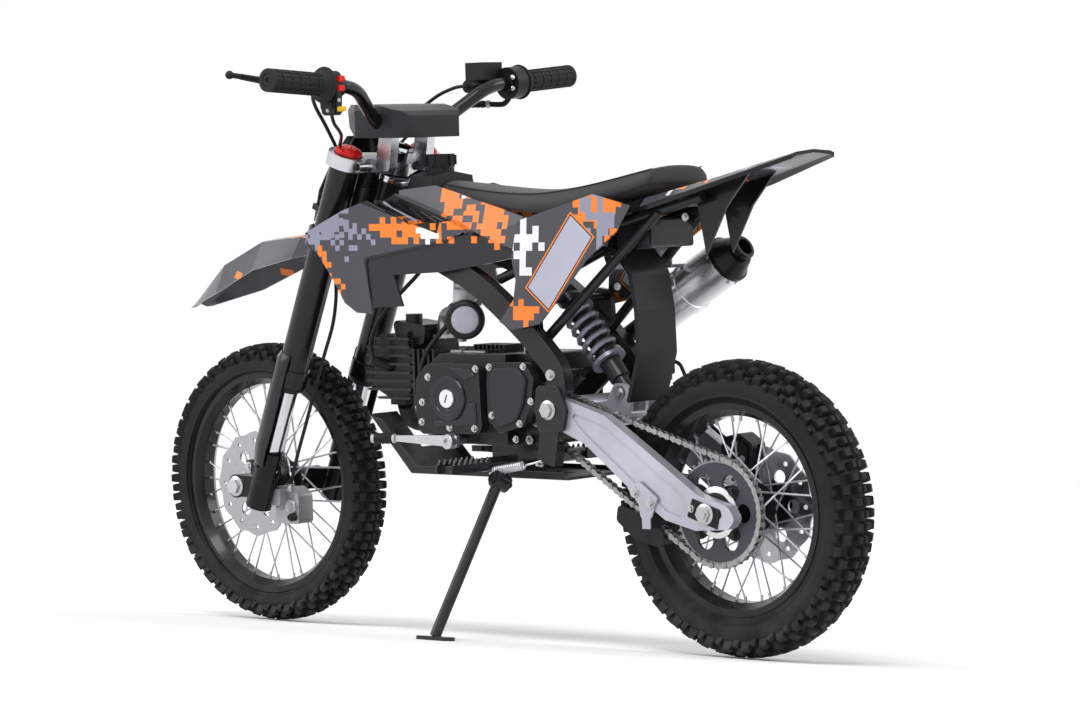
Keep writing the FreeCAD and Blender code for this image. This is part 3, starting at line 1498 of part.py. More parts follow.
beam_out = SPAR_Y + SPAR_W / 2
master_y = -beam_out + 6
mount_line = [(222, 478), (222, 430), (262, 430), (300, 440), (300, 470), (262, 478)]
master_mount = side_plate(mount_line, (-beam_out - 4, -beam_out - GAP), 6)
rear_master = fuse(
    [
        master_mount,
        rod(V(234, master_y, 422), V(234, master_y, 474), 11),
        rod(V(234, master_y, 474), V(234, master_y, 482), 6),
        rod(V(234, master_y, 404), V(234, master_y, 422), 5),
    ]
)
line_points = [
    V(224, master_y, 452),
    V(203, -96, 450),
    V(184, -92, 420),
    V(168, -89, 385),
    V(140, -88, 355),
    V(104, -88, 330),
    V(76, -93, 317),
    V(50, -93, 314),
    V(50, REAR_DISC_Y - 16 - 2 * GAP, 314),
]
nodes["rear_brake_line"] = rear_master.fuse(pipe(line_points, 3))

# Parked place

parked = {name: lean(shape) for name, shape in nodes.items()}
parked["side_stand"] = stand
box = FreeCAD.BoundBox()
for shape in parked.values():
    box.add(shape.optimalBoundingBox(False))
home = V(-box.Center.x, -box.Center.y, -box.ZMin)


def place(point):
    """A point of the upright machine, in its parked place."""
    return leaned(point) + home


os.makedirs("parts", exist_ok=True)
for name, shape in parked.items():
    shape.translate(home)
    shape.exportStep("parts/" + name + ".step")
    print(name, len(shape.Solids), shape.isValid(), round(shape.Volume / 1000))
print("size", box.XLength, box.YLength, box.ZLength, "home", home)
print("rear axle", place(REAR_AXLE), "front axle", place(FRONT_AXLE))
print("stem", place(STEM_TOP), "steer axis", leaned(STEER_DOWN * -1), "lateral", leaned(V(0, 1, 0)))
print("stand pivot", stand_pivot + home, "foot", stand_foot + home)
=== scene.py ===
"""Dresses a small off-road motorcycle that leans on its side stand.

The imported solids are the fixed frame. Every piece made here is in metres, in that frame, and rides
on one of its bodies: rear_wheel, front_wheel, steering, side_stand or chassis. Places are given as on
the upright machine, in millimetres: x ahead of the rear axle, y to the rider's left, z above the
ground. place() leans them over.
"""

import json
import logging
import math
from dataclasses import dataclass
from enum import Enum

import bmesh
import bpy
from mathutils import Matrix, Vector


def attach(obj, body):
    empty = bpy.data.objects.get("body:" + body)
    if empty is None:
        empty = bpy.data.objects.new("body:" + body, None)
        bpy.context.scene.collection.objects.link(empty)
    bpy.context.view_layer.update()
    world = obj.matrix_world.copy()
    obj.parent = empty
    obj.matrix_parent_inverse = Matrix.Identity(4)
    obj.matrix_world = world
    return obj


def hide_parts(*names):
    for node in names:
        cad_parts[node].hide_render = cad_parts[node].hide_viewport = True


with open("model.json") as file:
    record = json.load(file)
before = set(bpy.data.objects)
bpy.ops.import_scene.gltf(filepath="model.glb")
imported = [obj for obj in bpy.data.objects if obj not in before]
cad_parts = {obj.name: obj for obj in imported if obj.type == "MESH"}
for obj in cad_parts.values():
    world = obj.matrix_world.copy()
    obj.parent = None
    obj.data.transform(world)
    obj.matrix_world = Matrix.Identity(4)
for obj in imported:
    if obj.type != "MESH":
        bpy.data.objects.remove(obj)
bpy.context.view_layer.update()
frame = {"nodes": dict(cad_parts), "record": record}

LOG = logging.getLogger("motorcycle")
MM = 0.001
LEAN = math.radians(7.0)
LEAN_TURN = Matrix.Rotation(-LEAN, 4, "X")
REAR_AXLE = Vector((0.0, 0.0, 233.305))
FRONT_AXLE = Vector((1025.0, 0.0, 239.296))
STEM_TOP = Vector((711.0, 0.0, 800.0))
STEER_DOWN = Vector((0.37461, 0.0, -0.92718))


class Body(Enum):
    """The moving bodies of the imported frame."""

    CHASSIS = "chassis"
    STEERING = "steering"
    REAR_WHEEL = "rear_wheel"
    FRONT_WHEEL = "front_wheel"
    SIDE_STAND = "side_stand"


def joint_place(name: str) -> Vector:
    """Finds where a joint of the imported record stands.

    Args:
        name: The joint's name.

    Returns:
        Its place in metres.
    """
    joints = frame["record"]["behaviour"]["joints"]
    return Vector(next(joint["pos_m"] for joint in joints if joint["name"] == name))


HOME = joint_place("rear_wheel_spin") - LEAN_TURN @ (REAR_AXLE * MM)
PARK = Matrix.Translation(HOME) @ LEAN_TURN


def place(x: float, y: float, z: float) -> Vector:
    """Moves a point of the upright machine to its parked place.

    Args:
        x: Millimetres ahead of the rear axle.
        y: Millimetres to the rider's left.
        z: Millimetres above the ground.

    Returns:
        The point in metres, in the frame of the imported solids.
    """
    return PARK @ (Vector((x, y, z)) * MM)


def leaned(x: float, y: float, z: float) -> Vector:
    """Turns a direction of the upright machine to its parked lean."""
    return (LEAN_TURN @ Vector((x, y, z))).normalized()


VALUE = "NodeSocketFloat"
VECTOR = "NodeSocketVector"
WHOLE = "NodeSocketInt"
OBJECT = "NodeSocketObject"
MATERIAL = "NodeSocketMaterial"
GEOMETRY = "NodeSocketGeometry"
ORIGIN = (0.0, 0.0, 0.0)


class Graph:
    """A node tree with short calls that add and join its nodes."""

    def __init__(self, tree: bpy.types.NodeTree) -> None:
        """Keeps the tree that the calls write to."""
        self.tree = tree

    def add(self, kind: str, inputs: dict | None = None, **settings: object) -> bpy.types.Node:
        """Adds a node.

        Args:
            kind: The node's type.
            inputs: Values or sockets by input name or index.
            settings: Properties of the node.

        Returns:
            The new node.
        """
        node = self.tree.nodes.new(kind)
        for key, value in settings.items():
            setattr(node, key, value)
        for key, value in (inputs or {}).items():
            self.put(value, node.inputs[key])
        return node

    def put(self, value: object, socket: bpy.types.NodeSocket) -> None:
        """Links a socket, or writes a plain value.

        Args:
            value: The output socket or the plain value.
            socket: The input that gets it.
        """
        if isinstance(value, bpy.types.NodeSocket):
            self.tree.links.new(value, socket)
        else:
            socket.default_value = value

    def math(self, operation: str, first: object, second: object = 0.0) -> bpy.types.NodeSocket:
        """Joins two values with a Math node."""
        return self.add("ShaderNodeMath", {0: first, 1: second}, operation=operation).outputs[0]

    def vector(self, operation: str, first: object, second: object) -> bpy.types.NodeSocket:
        """Joins two vectors with a Vector Math node.

        Args:
            operation: The node's operation.
            first: The first vector.
            second: The second vector, or the factor of SCALE.

        Returns:
            The node's vector, or its value where the operation gives one.
        """
        key = "Scale" if operation == "SCALE" else 1
        outputs = self.add("ShaderNodeVectorMath", {0: first, key: second}, operation=operation).outputs
        return outputs["Value" if operation in ("DOT_PRODUCT", "LENGTH") else "Vector"]

    def parts(self, vector: object) -> bpy.types.bpy_prop_collection:
        """Splits a vector into X, Y and Z."""
        return self.add("ShaderNodeSeparateXYZ", {0: vector}).outputs

    def mix(self, factor: object, first: object, second: object) -> bpy.types.NodeSocket:
        """Mixes two colours."""
        return self.add("ShaderNodeMix", {0: factor, 6: first, 7: second}, data_type="RGBA").outputs[2]

    def fade(self, value: object, low: float, high: float) -> bpy.types.NodeSocket:
        """Turns the span from low to high into 0 to 1."""
        return self.add("ShaderNodeMapRange", {0: value, 1: low, 2: high, 3: 0.0, 4: 1.0}).outputs[0]

    def noise(self, vector: object, scale: object, detail: float) -> bpy.types.NodeSocket:
        """Adds a noise and gives its value."""
        inputs = {"Vector": vector, "Scale": scale, "Detail": detail}
        return self.add("ShaderNodeTexNoise", inputs).outputs["Fac"]

    def instances(self, points: object, piece: object, turn: object, **more: object) -> bpy.types.NodeSocket:
        """Sets copies of a mesh on points, turned."""
        inputs = {"Points": points, "Instance": piece, "Rotation": turn, **more}
        return self.add("GeometryNodeInstanceOnPoints", inputs).outputs[0]


class Group:
    """A node group with named inputs and outputs, built once and used often."""

    built: dict[str, bpy.types.NodeTree] = {}

    def __init__(
        self, name: str, inputs: dict[str, object], outputs: dict[str, str], kind: str = "ShaderNodeTree"
    ) -> None:
        """Makes the empty group.

        Args:
            name: The group's name.
            inputs: Socket types or default values by input name. A number makes a value, three a vector.
            outputs: Socket types by output name.
            kind: The type of tree.
        """
        self.tree = bpy.data.node_groups.new(name, kind)
        for key, value in inputs.items():
            plain = VECTOR if isinstance(value, tuple) else VALUE
            typed = isinstance(value, str)
            socket = self.tree.interface.new_socket(
                name=key, in_out="INPUT", socket_type=value if typed else plain
            )
            if not typed:
                socket.default_value = value
        for key, value in outputs.items():
            self.tree.interface.new_socket(name=key, in_out="OUTPUT", socket_type=value)
        self.graph = Graph(self.tree)
        self.inside = self.tree.nodes.new("NodeGroupInput").outputs
        self.out = self.tree.nodes.new("NodeGroupOutput").inputs
        Group.built[name] = self.tree

    def give(self, **values: bpy.types.NodeSocket) -> None:
        """Sends values to the group's outputs, by name."""
        for name, value in values.items():
            self.graph.put(value, self.out[name])

    def dress(self, name: str, copies: bpy.types.NodeSocket) -> None:
        """Makes copies real, gives them the group's material and sends them out.

        Args:
            name: The output's name.
            copies: The copies as instances.
        """
        real = self.graph.add("GeometryNodeRealizeInstances", {0: copies}).outputs[0]
        inputs = {"Geometry": real, "Material": self.inside["Material"]}
        self.graph.put(self.graph.add("GeometryNodeSetMaterial", inputs).outputs[0], self.out[name])


def placed(graph: Graph, name: str, **inputs: object) -> bpy.types.Node:
    """Places a built group in a material.

    Args:
        graph: The material's graph.
        name: The group's name.
        inputs: Values or sockets by input name.

    Returns:
        The group's node.
    """
    node = graph.tree.nodes.new("ShaderNodeGroup")
    node.node_tree = Group.built[name]
    for key, value in inputs.items():
        graph.put(value, node.inputs[key])
    return node


def build_surfaces() -> None:
    """Builds the effects of the fine surface: wear, grain, leather, brushing and dust."""
    group = Group("wear", {"Spot": ORIGIN, "Radius": 0.0012, "Amount": 0.5}, {"Mask": VALUE})
    g, i = group.graph, group.inside
    rounded = g.add("ShaderNodeBevel", {"Radius": i["Radius"]}, samples=4).outputs[0]
    flat = g.add("ShaderNodeNewGeometry").outputs["Normal"]
    bend = g.math("SUBTRACT", 1.0, g.vector("DOT_PRODUCT", rounded, flat))
    edge = g.fade(g.math("MULTIPLY", bend, g.noise(i["Spot"], 170.0, 5.0)), 0.03, 0.14)
    group.give(Mask=g.math("MULTIPLY", edge, i["Amount"]))

    group = Group("grain", {"Spot": ORIGIN, "Scale": 900.0}, {"Height": VALUE, "Tone": VALUE})
    g, i = group.graph, group.inside
    fine = g.noise(i["Spot"], i["Scale"], 3.0)
    group.give(Height=fine, Tone=g.fade(g.noise(i["Spot"], 9.0, 3.0), 0.3, 0.7))

    group = Group("leather", {"Spot": ORIGIN, "Scale": 600.0}, {"Height": VALUE, "Tone": VALUE})
    g, i = group.graph, group.inside
    inputs = {"Vector": i["Spot"], "Scale": i["Scale"]}
    cells = g.add("ShaderNodeTexVoronoi", inputs, feature="DISTANCE_TO_EDGE").outputs["Distance"]
    crease = g.fade(cells, 0.0, 0.16)
    group.give(Height=g.math("ADD", crease, g.noise(i["Spot"], 90.0, 2.0)), Tone=crease)

    group = Group("brushed", {"Spot": ORIGIN, "Stretch": ORIGIN}, {"Height": VALUE, "Tone": VALUE})
    g, i = group.graph, group.inside
    streak = g.noise(g.vector("MULTIPLY", i["Spot"], i["Stretch"]), 30.0, 4.0)
    group.give(Height=streak, Tone=g.fade(streak, 0.3, 0.7))

    group = Group("dust", {"Spot": ORIGIN, "Amount": 0.2}, {"Mask": VALUE})
    g, i = group.graph, group.inside
    up = g.parts(g.add("ShaderNodeNewGeometry").outputs["Normal"])["Z"]
    low = g.parts(i["Spot"])["Z"]
    patch = g.fade(g.noise(i["Spot"], 26.0, 5.0), 0.35, 0.75)
    lying = g.math("ADD", g.fade(up, 0.1, 1.0), g.fade(low, 0.3, 0.0))
    group.give(Mask=g.math("MULTIPLY", g.math("MULTIPLY", lying, patch), i["Amount"]))


def build_places() -> None:
    """Builds the effects that depend on where a point lies on the machine."""
    group = Group(
        "round", {"Spot": ORIGIN, "Centre": ORIGIN, "Axis": ORIGIN}, {"Radius": VALUE, "Along": VALUE}
    )
    g, i = group.graph, group.inside
    away = g.vector("SUBTRACT", i["Spot"], i["Centre"])
    along = g.vector("DOT_PRODUCT", away, i["Axis"])
    off = g.vector("SUBTRACT", away, g.vector("SCALE", i["Axis"], along))
    group.give(Radius=g.vector("LENGTH", off, ORIGIN), Along=along)

    group = Group("machine", {"Spot": ORIGIN}, {"Side": VECTOR})
    g = group.graph
    back = PARK.inverted()
    turned = g.add("ShaderNodeMapping", {"Vector": group.inside["Spot"]})
    turned.inputs["Rotation"].default_value = back.to_euler()
    turned.inputs["Location"].default_value = back.to_translation()
    group.give(Side=g.vector("SCALE", turned.outputs[0], 1.0 / MM))

    numbers = ("Cell", "Angle", "Low", "High", "Start", "End", "Ragged", "Seed")
    group = Group("squares", {"Side": ORIGIN, **dict.fromkeys(numbers, 0.0)}, {"Mask": VALUE})
    g, i = group.graph, group.inside
    parts = g.parts(i["Side"])
    x = g.math("SNAP", parts["X"], i["Cell"])
    z = g.math("SNAP", parts["Z"], i["Cell"])
    key = g.add("ShaderNodeCombineXYZ", {0: x, 1: z, 2: i["Seed"]}).outputs[0]
    chance = g.add("ShaderNodeTexWhiteNoise", {"Vector": key}, noise_dimensions="3D").outputs["Value"]
    jog = g.math("MULTIPLY", g.math("SUBTRACT", chance, 0.5), i["Ragged"])
    cosine = g.math("COSINE", i["Angle"])
    sine = g.math("SINE", i["Angle"])
    run = g.math("ADD", g.math("MULTIPLY", x, cosine), g.math("MULTIPLY", z, sine))
    rise = g.math("SUBTRACT", g.math("MULTIPLY", z, cosine), g.math("MULTIPLY", x, sine))
    mask = 1.0
    for place_, low, high in ((rise, "Low", "High"), (run, "Start", "End")):
        jogged = g.math("ADD", place_, jog)
        mask = g.math("MULTIPLY", mask, g.math("GREATER_THAN", jogged, i[low]))
        mask = g.math("MULTIPLY", mask, g.math("LESS_THAN", jogged, i[high]))
    group.give(Mask=mask)


Colour = tuple[float, float, float]
BLACK: Colour = (0.006, 0.006, 0.007)
SOFT_BLACK: Colour = (0.010, 0.010, 0.012)
SLATE: Colour = (0.062, 0.062, 0.075)
ORANGE: Colour = (0.86, 0.22, 0.03)
WHITE: Colour = (0.78, 0.79, 0.84)
LAVENDER: Colour = (0.27, 0.27, 0.36)
SILVER: Colour = (0.62, 0.62, 0.66)
PALE: Colour = (0.42, 0.42, 0.52)
MATT: Colour = (0.022, 0.022, 0.026)
DUST: Colour = (0.42, 0.40, 0.37)
# how much rougher the darker places are, and how much smoother the paler ones
ROUGHER, SMOOTHER = 0.07, 0.04
# how much a whole coat weighs and how rough it is, and how deep the fine texture is in metres
COAT_SHARE, COAT_ROUGH, TEXTURE_DEPTH = 0.5, 0.08, 0.0006


class Texture(Enum):
    """What a finish's fine surface is like."""

    GRAIN = "grain"
    LEATHER = "leather"
    BRUSHED = "brushed"


@dataclass(frozen=True)
class Finish:
    """A plain finish: two close tones, a fine texture, worn edges and a little dust."""

    name: str
    colour: Colour
    tone: float = 0.25
    rough: float = 0.4
    metal: float = 0.0
    coat: float = 0.0
    shine: float = 0.22
    sheen: float = 0.0
    texture: Texture = Texture.GRAIN
    scale: float = 900.0
    bump: float = 0.08
    stretch: tuple[float, float, float] = (1.0, 40.0, 40.0)
    wear: float = 0.0
    worn: Colour = (0.35, 0.35, 0.37)
    dust: float = 0.05

    def height(self, g: Graph, spot: bpy.types.NodeSocket) -> tuple:
        """Adds the fine texture.

        Args:
            g: The material's graph.
            spot: The Object coordinates.

        Returns:
            Its height, and a mask of its darker places.
        """
        brushed = self.texture is Texture.BRUSHED
        inputs = {"Stretch": self.stretch} if brushed else {"Scale": self.scale}
        outputs = placed(g, self.texture.value, Spot=spot, **inputs).outputs
        return outputs["Height"], outputs["Tone"]

    def base(self, g: Graph, spot: bpy.types.NodeSocket) -> bpy.types.NodeSocket | Colour:
        """Gives the colour before its tones, wear and dust."""
        return (*self.colour, 1.0)

    def metallic(self, g: Graph, spot: bpy.types.NodeSocket) -> object:
        """Gives how metallic the surface is."""
        return self.metal

    def build(self) -> bpy.types.Material:
        """Builds the material, or gives the one built before."""
        name = f"look_{self.name}"
        if name in bpy.data.materials:
            return bpy.data.materials[name]
        material = bpy.data.materials.new(name)
        material.use_nodes = True
        g = Graph(material.node_tree)
        shader = g.tree.nodes["Principled BSDF"]
        spot = g.add("ShaderNodeTexCoord").outputs["Object"]
        height, tone = self.height(g, spot)
        base = self.base(g, spot)
        colour = g.mix(tone, g.mix(self.tone, base, (0, 0, 0, 1)), base)
        span = {0: tone, 3: self.rough + ROUGHER, 4: self.rough - SMOOTHER}
        rough = g.add("ShaderNodeMapRange", span).outputs[0]
        if self.wear:
            mask = placed(g, "wear", Spot=spot, Amount=self.wear).outputs["Mask"]
            colour = g.mix(mask, colour, (*self.worn, 1.0))
        if self.dust:
            mask = placed(g, "dust", Spot=spot, Amount=self.dust).outputs["Mask"]
            colour = g.mix(mask, colour, (*DUST, 1.0))
            rough = g.math("ADD", rough, g.math("MULTIPLY", mask, 0.3))
        bump = g.add("ShaderNodeBump", {"Strength": self.bump, "Distance": TEXTURE_DEPTH, "Height": height})
        for key, value in (
            ("Base Color", colour), ("Roughness", rough), ("Metallic", self.metallic(g, spot)),
            ("Specular IOR Level", self.shine), ("Coat Weight", self.coat * COAT_SHARE),
            ("Coat Roughness", COAT_ROUGH), ("Sheen Weight", self.sheen), ("Normal", bump.outputs[0]),
        ):
            g.put(value, shader.inputs[key])
        return material


@dataclass(frozen=True)
class RoundFinish(Finish):
    """A finish that changes colour at a distance from a line, as a hub does at its spokes."""

    centre: Vector = REAR_AXLE
    axis: Vector = Vector((0, 1, 0))
    reach: float = 40.0
    outside: Colour = SILVER
    outside_metal: float = 1.0
    along: bool = False

    def past(self, g: Graph, spot: bpy.types.NodeSocket) -> bpy.types.NodeSocket:
        """Marks what lies past the reach, out from the line or along it.

        Args:
            g: The material's graph.
            spot: The Object coordinates.

        Returns:
            1 past the reach and 0 before it.
        """
        node = placed(g, "round", Spot=spot, Centre=place(*self.centre), Axis=leaned(*self.axis))
        far = node.outputs["Along" if self.along else "Radius"]
        return g.math("GREATER_THAN", far, self.reach * MM)

    def base(self, g: Graph, spot: bpy.types.NodeSocket) -> bpy.types.NodeSocket:
        """Mixes the two colours at the reach."""
        return g.mix(self.past(g, spot), (*self.colour, 1.0), (*self.outside, 1.0))

    def metallic(self, g: Graph, spot: bpy.types.NodeSocket) -> bpy.types.NodeSocket:
        """Mixes the two metal values at the reach."""
        span = self.outside_metal - self.metal
        return g.math("ADD", g.math("MULTIPLY", self.past(g, spot), span), self.metal)


@dataclass(frozen=True)
class Band:
    """A field of squares between two slanted lines and two ends, in millimetres on the machine."""

    colour: Colour
    angle: float
    low: float
    high: float
    start: float = -2000.0
    end: float = 2000.0
    cell: float = 12.0
    ragged: float = 26.0
    seed: float = 0.0


@dataclass(frozen=True)
class FilmFinish(Finish):
    """Glossy plastic under a film printed with fields of squares."""

    bands: tuple[Band, ...] = ()

    def base(self, g: Graph, spot: bpy.types.NodeSocket) -> bpy.types.NodeSocket:
        """Lays the fields over each other in their order.

        Args:
            g: The material's graph.
            spot: The Object coordinates.

        Returns:
            The printed colour.
        """
        side = placed(g, "machine", Spot=spot).outputs["Side"]
        colour = (*self.colour, 1.0)
        for band in self.bands:
            mask = placed(
                g, "squares", Side=side, Cell=band.cell, Angle=math.radians(band.angle), Low=band.low,
                High=band.high, Start=band.start, End=band.end, Ragged=band.ragged, Seed=band.seed,
            ).outputs["Mask"]
            colour = g.mix(mask, colour, (*band.colour, 1.0))
        return colour


def add_object(name: str, data: bpy.types.ID) -> bpy.types.Object:
    """Makes an object and puts it in the scene.

    Args:
        name: The object's name.
        data: Its mesh, lamp or camera.

    Returns:
        The new object.
    """
    added = bpy.data.objects.new(name, data)
    bpy.context.scene.collection.objects.link(added)
    return added


def add_piece(
    name: str, mesh: bpy.types.Mesh, body: Body, finish: Finish, smooth: float = 40.0
) -> bpy.types.Object:
    """Turns a mesh in the machine's millimetres into a piece that rides on a body.

    Args:
        name: The piece's name.
        mesh: The mesh, upright and in millimetres.
        body: The body it rides on.
        finish: Its finish.
        smooth: Edges sharper than this angle in degrees stay sharp.

    Returns:
        The new piece.
    """
    mesh.transform(PARK @ Matrix.Scale(MM, 4))
    mesh.name = name
    piece = add_object(name, mesh)
    mesh.materials.clear()
    mesh.materials.append(finish.build())
    mesh.shade_smooth()
    mesh.set_sharp_from_angle(angle=math.radians(smooth))
    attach(piece, body.value)
    LOG.info("%s: %d faces on %s", name, len(mesh.polygons), body.value)
    return piece


def across(axis: Vector) -> tuple[Vector, Vector]:
    """Gives two directions square to an axis and to each other."""
    first = axis.orthogonal().normalized()
    return first, axis.cross(first).normalized()


def circle(middle: Vector, first: Vector, second: Vector, radius: float, steps: int) -> list[Vector]:
    """Gives points evenly round a circle that two directions span."""
    turns = [math.tau * step / steps for step in range(steps)]
    return [middle + first * (radius * math.cos(a)) + second * (radius * math.sin(a)) for a in turns]


def smooth_line(points: list, steps: int) -> list[Vector]:
    """Reads points from a smooth line through a route.

    Args:
        points: The route in millimetres.
        steps: Points between each pair.

    Returns:
        The points of the smooth line.
    """
    curve = bpy.data.curves.new("route", "CURVE")
    curve.dimensions = "3D"
    spline = curve.splines.new("NURBS")
    spline.points.add(len(points) - 1)
    for control, point in zip(spline.points, points):
        control.co = (*point, 1.0)
    spline.order_u = 3
    spline.use_endpoint_u = True
    spline.resolution_u = steps
    holder = bpy.data.objects.new("route", curve)
    mesh = bpy.data.meshes.new_from_object(holder)
    line = [vertex.co.copy() for vertex in mesh.vertices]
    bpy.data.objects.remove(holder)
    bpy.data.meshes.remove(mesh)
    return line


class Shape:
    """A mesh in the machine's millimetres, made by calls that can be chained."""

    def __init__(self, *meshes: bpy.types.Mesh) -> None:
        """Starts empty, or with copies of finished meshes.

        Args:
            meshes: The meshes to start with.
        """
        self.bm = bmesh.new()
        for mesh in meshes:
            self.bm.from_mesh(mesh)

    def skin(self, rings: list, hollow: bool = False) -> "Shape":
        """Joins rings of points by quads.

        Args:
            rings: Lists of points, each as long as the others.
            hollow: Joins the last ring to the first, in place of two flat end faces.

        Returns:
            This shape.
        """
        loops = [[self.bm.verts.new(point) for point in ring] for ring in rings]
        if hollow:
            loops.append(loops[0])
        for near, far in zip(loops, loops[1:]):
            for step in range(len(near)):
                onward = (step + 1) % len(near)
                self.bm.faces.new((near[step], near[onward], far[onward], far[step]))
        if not hollow:
            self.bm.faces.new(loops[0])
            self.bm.faces.new(loops[-1])
        return self

    def prism(self, outline: list, low: float, high: float) -> "Shape":
        """Adds a plate whose outline is (x, z) points, between two widths y."""
        return self.skin([[(x, y, z) for x, z in outline] for y in (low, high)])

    def turned(
        self, at: Vector, axis: Vector, profile: list, steps: int = 24, hollow: bool = False
    ) -> "Shape":
        """Adds a turned shape.

        Args:
            at: Where the profile starts.
            axis: Its direction.
            profile: (along, radius) pairs.
            steps: Faces around it.
            hollow: Joins the profile's end to its start, in place of two flat end faces.

        Returns:
            This shape.
        """
        at = Vector(at)
        axis = Vector(axis).normalized()
        first, second = across(axis)
        rings = [circle(at + axis * along, first, second, radius, steps) for along, radius in profile]
        return self.skin(rings, hollow)

    def tube(self, points: list, radius: float, sides: int = 10, steps: int = 0) -> "Shape":
        """Adds a round tube, closed at both ends.

        Args:
            points: The points that it follows.
            radius: Its radius.
            sides: Faces around it.
            steps: Steps of a smooth line between each two points, or 0 for straight runs.

        Returns:
            This shape.
        """
        line = smooth_line(points, steps) if steps else [Vector(point) for point in points]
        rings = []
        first = None
        for step, point in enumerate(line):
            along = (line[min(step + 1, len(line) - 1)] - line[max(step - 1, 0)]).normalized()
            first = across(along)[0] if first is None else (first - along * first.dot(along)).normalized()
            rings.append(circle(point, first, along.cross(first), radius, sides))
        return self.skin(rings)

    def mesh(
        self, bevel: float = 0.0, segments: int = 2, angle: float = 35.0, doubles: float = 0.01
    ) -> bpy.types.Mesh:
        """Merges doubles, turns the faces outwards and gives the plain mesh.

        Args:
            bevel: How far sharp edges are rounded.
            segments: The bevel's steps.
            angle: Edges sharper than this in degrees are rounded.
            doubles: Vertices nearer than this become one.

        Returns:
            The finished mesh.
        """
        bmesh.ops.remove_doubles(self.bm, verts=self.bm.verts, dist=doubles)
        bmesh.ops.recalc_face_normals(self.bm, faces=self.bm.faces)
        mesh = bpy.data.meshes.new("shape")
        if bevel:
            self.bm.normal_update()
            sharp = [
                edge for edge in self.bm.edges
                if len(edge.link_faces) == 2 and edge.calc_face_angle(0.0) > math.radians(angle)
            ]
            bmesh.ops.bevel(
                self.bm, geom=sharp, offset=bevel, segments=segments, affect="EDGES", clamp_overlap=True
            )
        self.bm.to_mesh(mesh)
        self.bm.free()
        return mesh

    def piece(
        self, name: str, body: Body, finish: Finish, smooth: float = 40.0, **rounding: float
    ) -> bpy.types.Object:
        """Finishes the mesh and adds it as a piece."""
        return add_piece(name, self.mesh(**rounding), body, finish, smooth)


def build_ring() -> None:
    """Builds the tree that repeats one sector's mesh about an axis through the origin."""
    ring = Group(
        "ring_of_sectors", {"Sector": GEOMETRY, "Count": WHOLE, "Axis": VECTOR, "Material": MATERIAL},
        {"Ring": GEOMETRY}, "GeometryNodeTree",
    )
    g = ring.graph
    points = g.add("GeometryNodePoints", {"Count": ring.inside["Count"]})
    index = g.add("GeometryNodeInputIndex").outputs[0]
    share = g.math("DIVIDE", math.tau, ring.inside["Count"])
    angle = g.math("MULTIPLY", index, share)
    turn = g.add("FunctionNodeAxisAngleToRotation", {"Axis": ring.inside["Axis"], "Angle": angle})
    ring.dress("Ring", g.instances(points.outputs[0], ring.inside["Sector"], turn.outputs[0]))


def build_studs() -> None:
    """Builds the tree that sets a washer, a head and its recess on each point, along its aim."""
    sizes = {name: VALUE for name in ("Head Radius", "Head Height", "Washer Radius", "Recess")}
    studs = Group(
        "studs_on_points", {"Points": GEOMETRY, **sizes, "Sides": WHOLE, "Material": MATERIAL},
        {"Studs": GEOMETRY}, "GeometryNodeTree",
    )
    g = studs.graph
    whole = g.add("GeometryNodeJoinGeometry")
    for sides, radius, taper, share in (
        # vertices, radius, top as a share of it, height as a share of the head's
        (studs.inside["Sides"], "Head Radius", 0.86, 1.0),
        (16, "Washer Radius", 0.92, 0.3),
        (6, "Recess", 1.0, 1.14),
    ):
        bottom = studs.inside[radius]
        cone = g.add(
            "GeometryNodeMeshCone",
            {
                "Vertices": sides, "Radius Top": g.math("MULTIPLY", bottom, taper), "Radius Bottom": bottom,
                "Depth": g.math("MULTIPLY", studs.inside["Head Height"], share),
            },
        )
        g.tree.links.new(cone.outputs[0], whole.inputs[0])
    aim = g.add("GeometryNodeInputNamedAttribute", {0: "aim"}, data_type="FLOAT_VECTOR").outputs[0]
    turn = g.add("FunctionNodeAlignRotationToVector", {"Vector": aim}, axis="Z").outputs[0]
    studs.dress("Studs", g.instances(studs.inside["Points"], whole.outputs[0], turn))


def repeated(mesh: bpy.types.Mesh, tree: str, **inputs: object) -> bpy.types.Mesh:
    """Runs a Geometry Nodes tree on a mesh and gives the plain result.

    Args:
        mesh: The tree's input geometry.
        tree: The name of the built tree.
        inputs: Values by input name, with _ for a space.

    Returns:
        The evaluated mesh.
    """
    holder = add_object("holder", mesh)
    modifier = holder.modifiers.new("repeat", "NODES")
    modifier.node_group = Group.built[tree]
    for item in modifier.node_group.interface.items_tree:
        key = item.name.replace(" ", "_")
        if item.in_out == "INPUT" and key in inputs:
            modifier[item.identifier] = inputs[key]
    holder.update_tag()
    seen = holder.evaluated_get(bpy.context.evaluated_depsgraph_get())
    plain = bpy.data.meshes.new_from_object(seen)
    bpy.data.objects.remove(holder)
    return plain


def ring_of(sector: Shape, count: int, finish: Finish) -> bpy.types.Mesh:
    """Repeats a sector about the y axis through the origin."""
    return repeated(
        sector.mesh(), "ring_of_sectors", Count=count, Axis=(0.0, 1.0, 0.0), Material=finish.build()
    )


@dataclass(frozen=True)
class Bolt:
    """The sizes of one kind of fastener, in millimetres."""

    head: float
    height: float
    washer: float
    sides: int = 6
    recess: float = 0.0


def aimed(aim: tuple, *places: tuple) -> list:
    """Gives (place, aim) pairs that share an aim."""
    return [(place_, aim) for place_ in places]


def mirrored(*places: tuple) -> list:
    """Gives (place, aim) pairs on the right and left, aimed outwards."""
    return [((x, side * y, z), (0, side, 0)) for side in (-1, 1) for x, y, z in places]


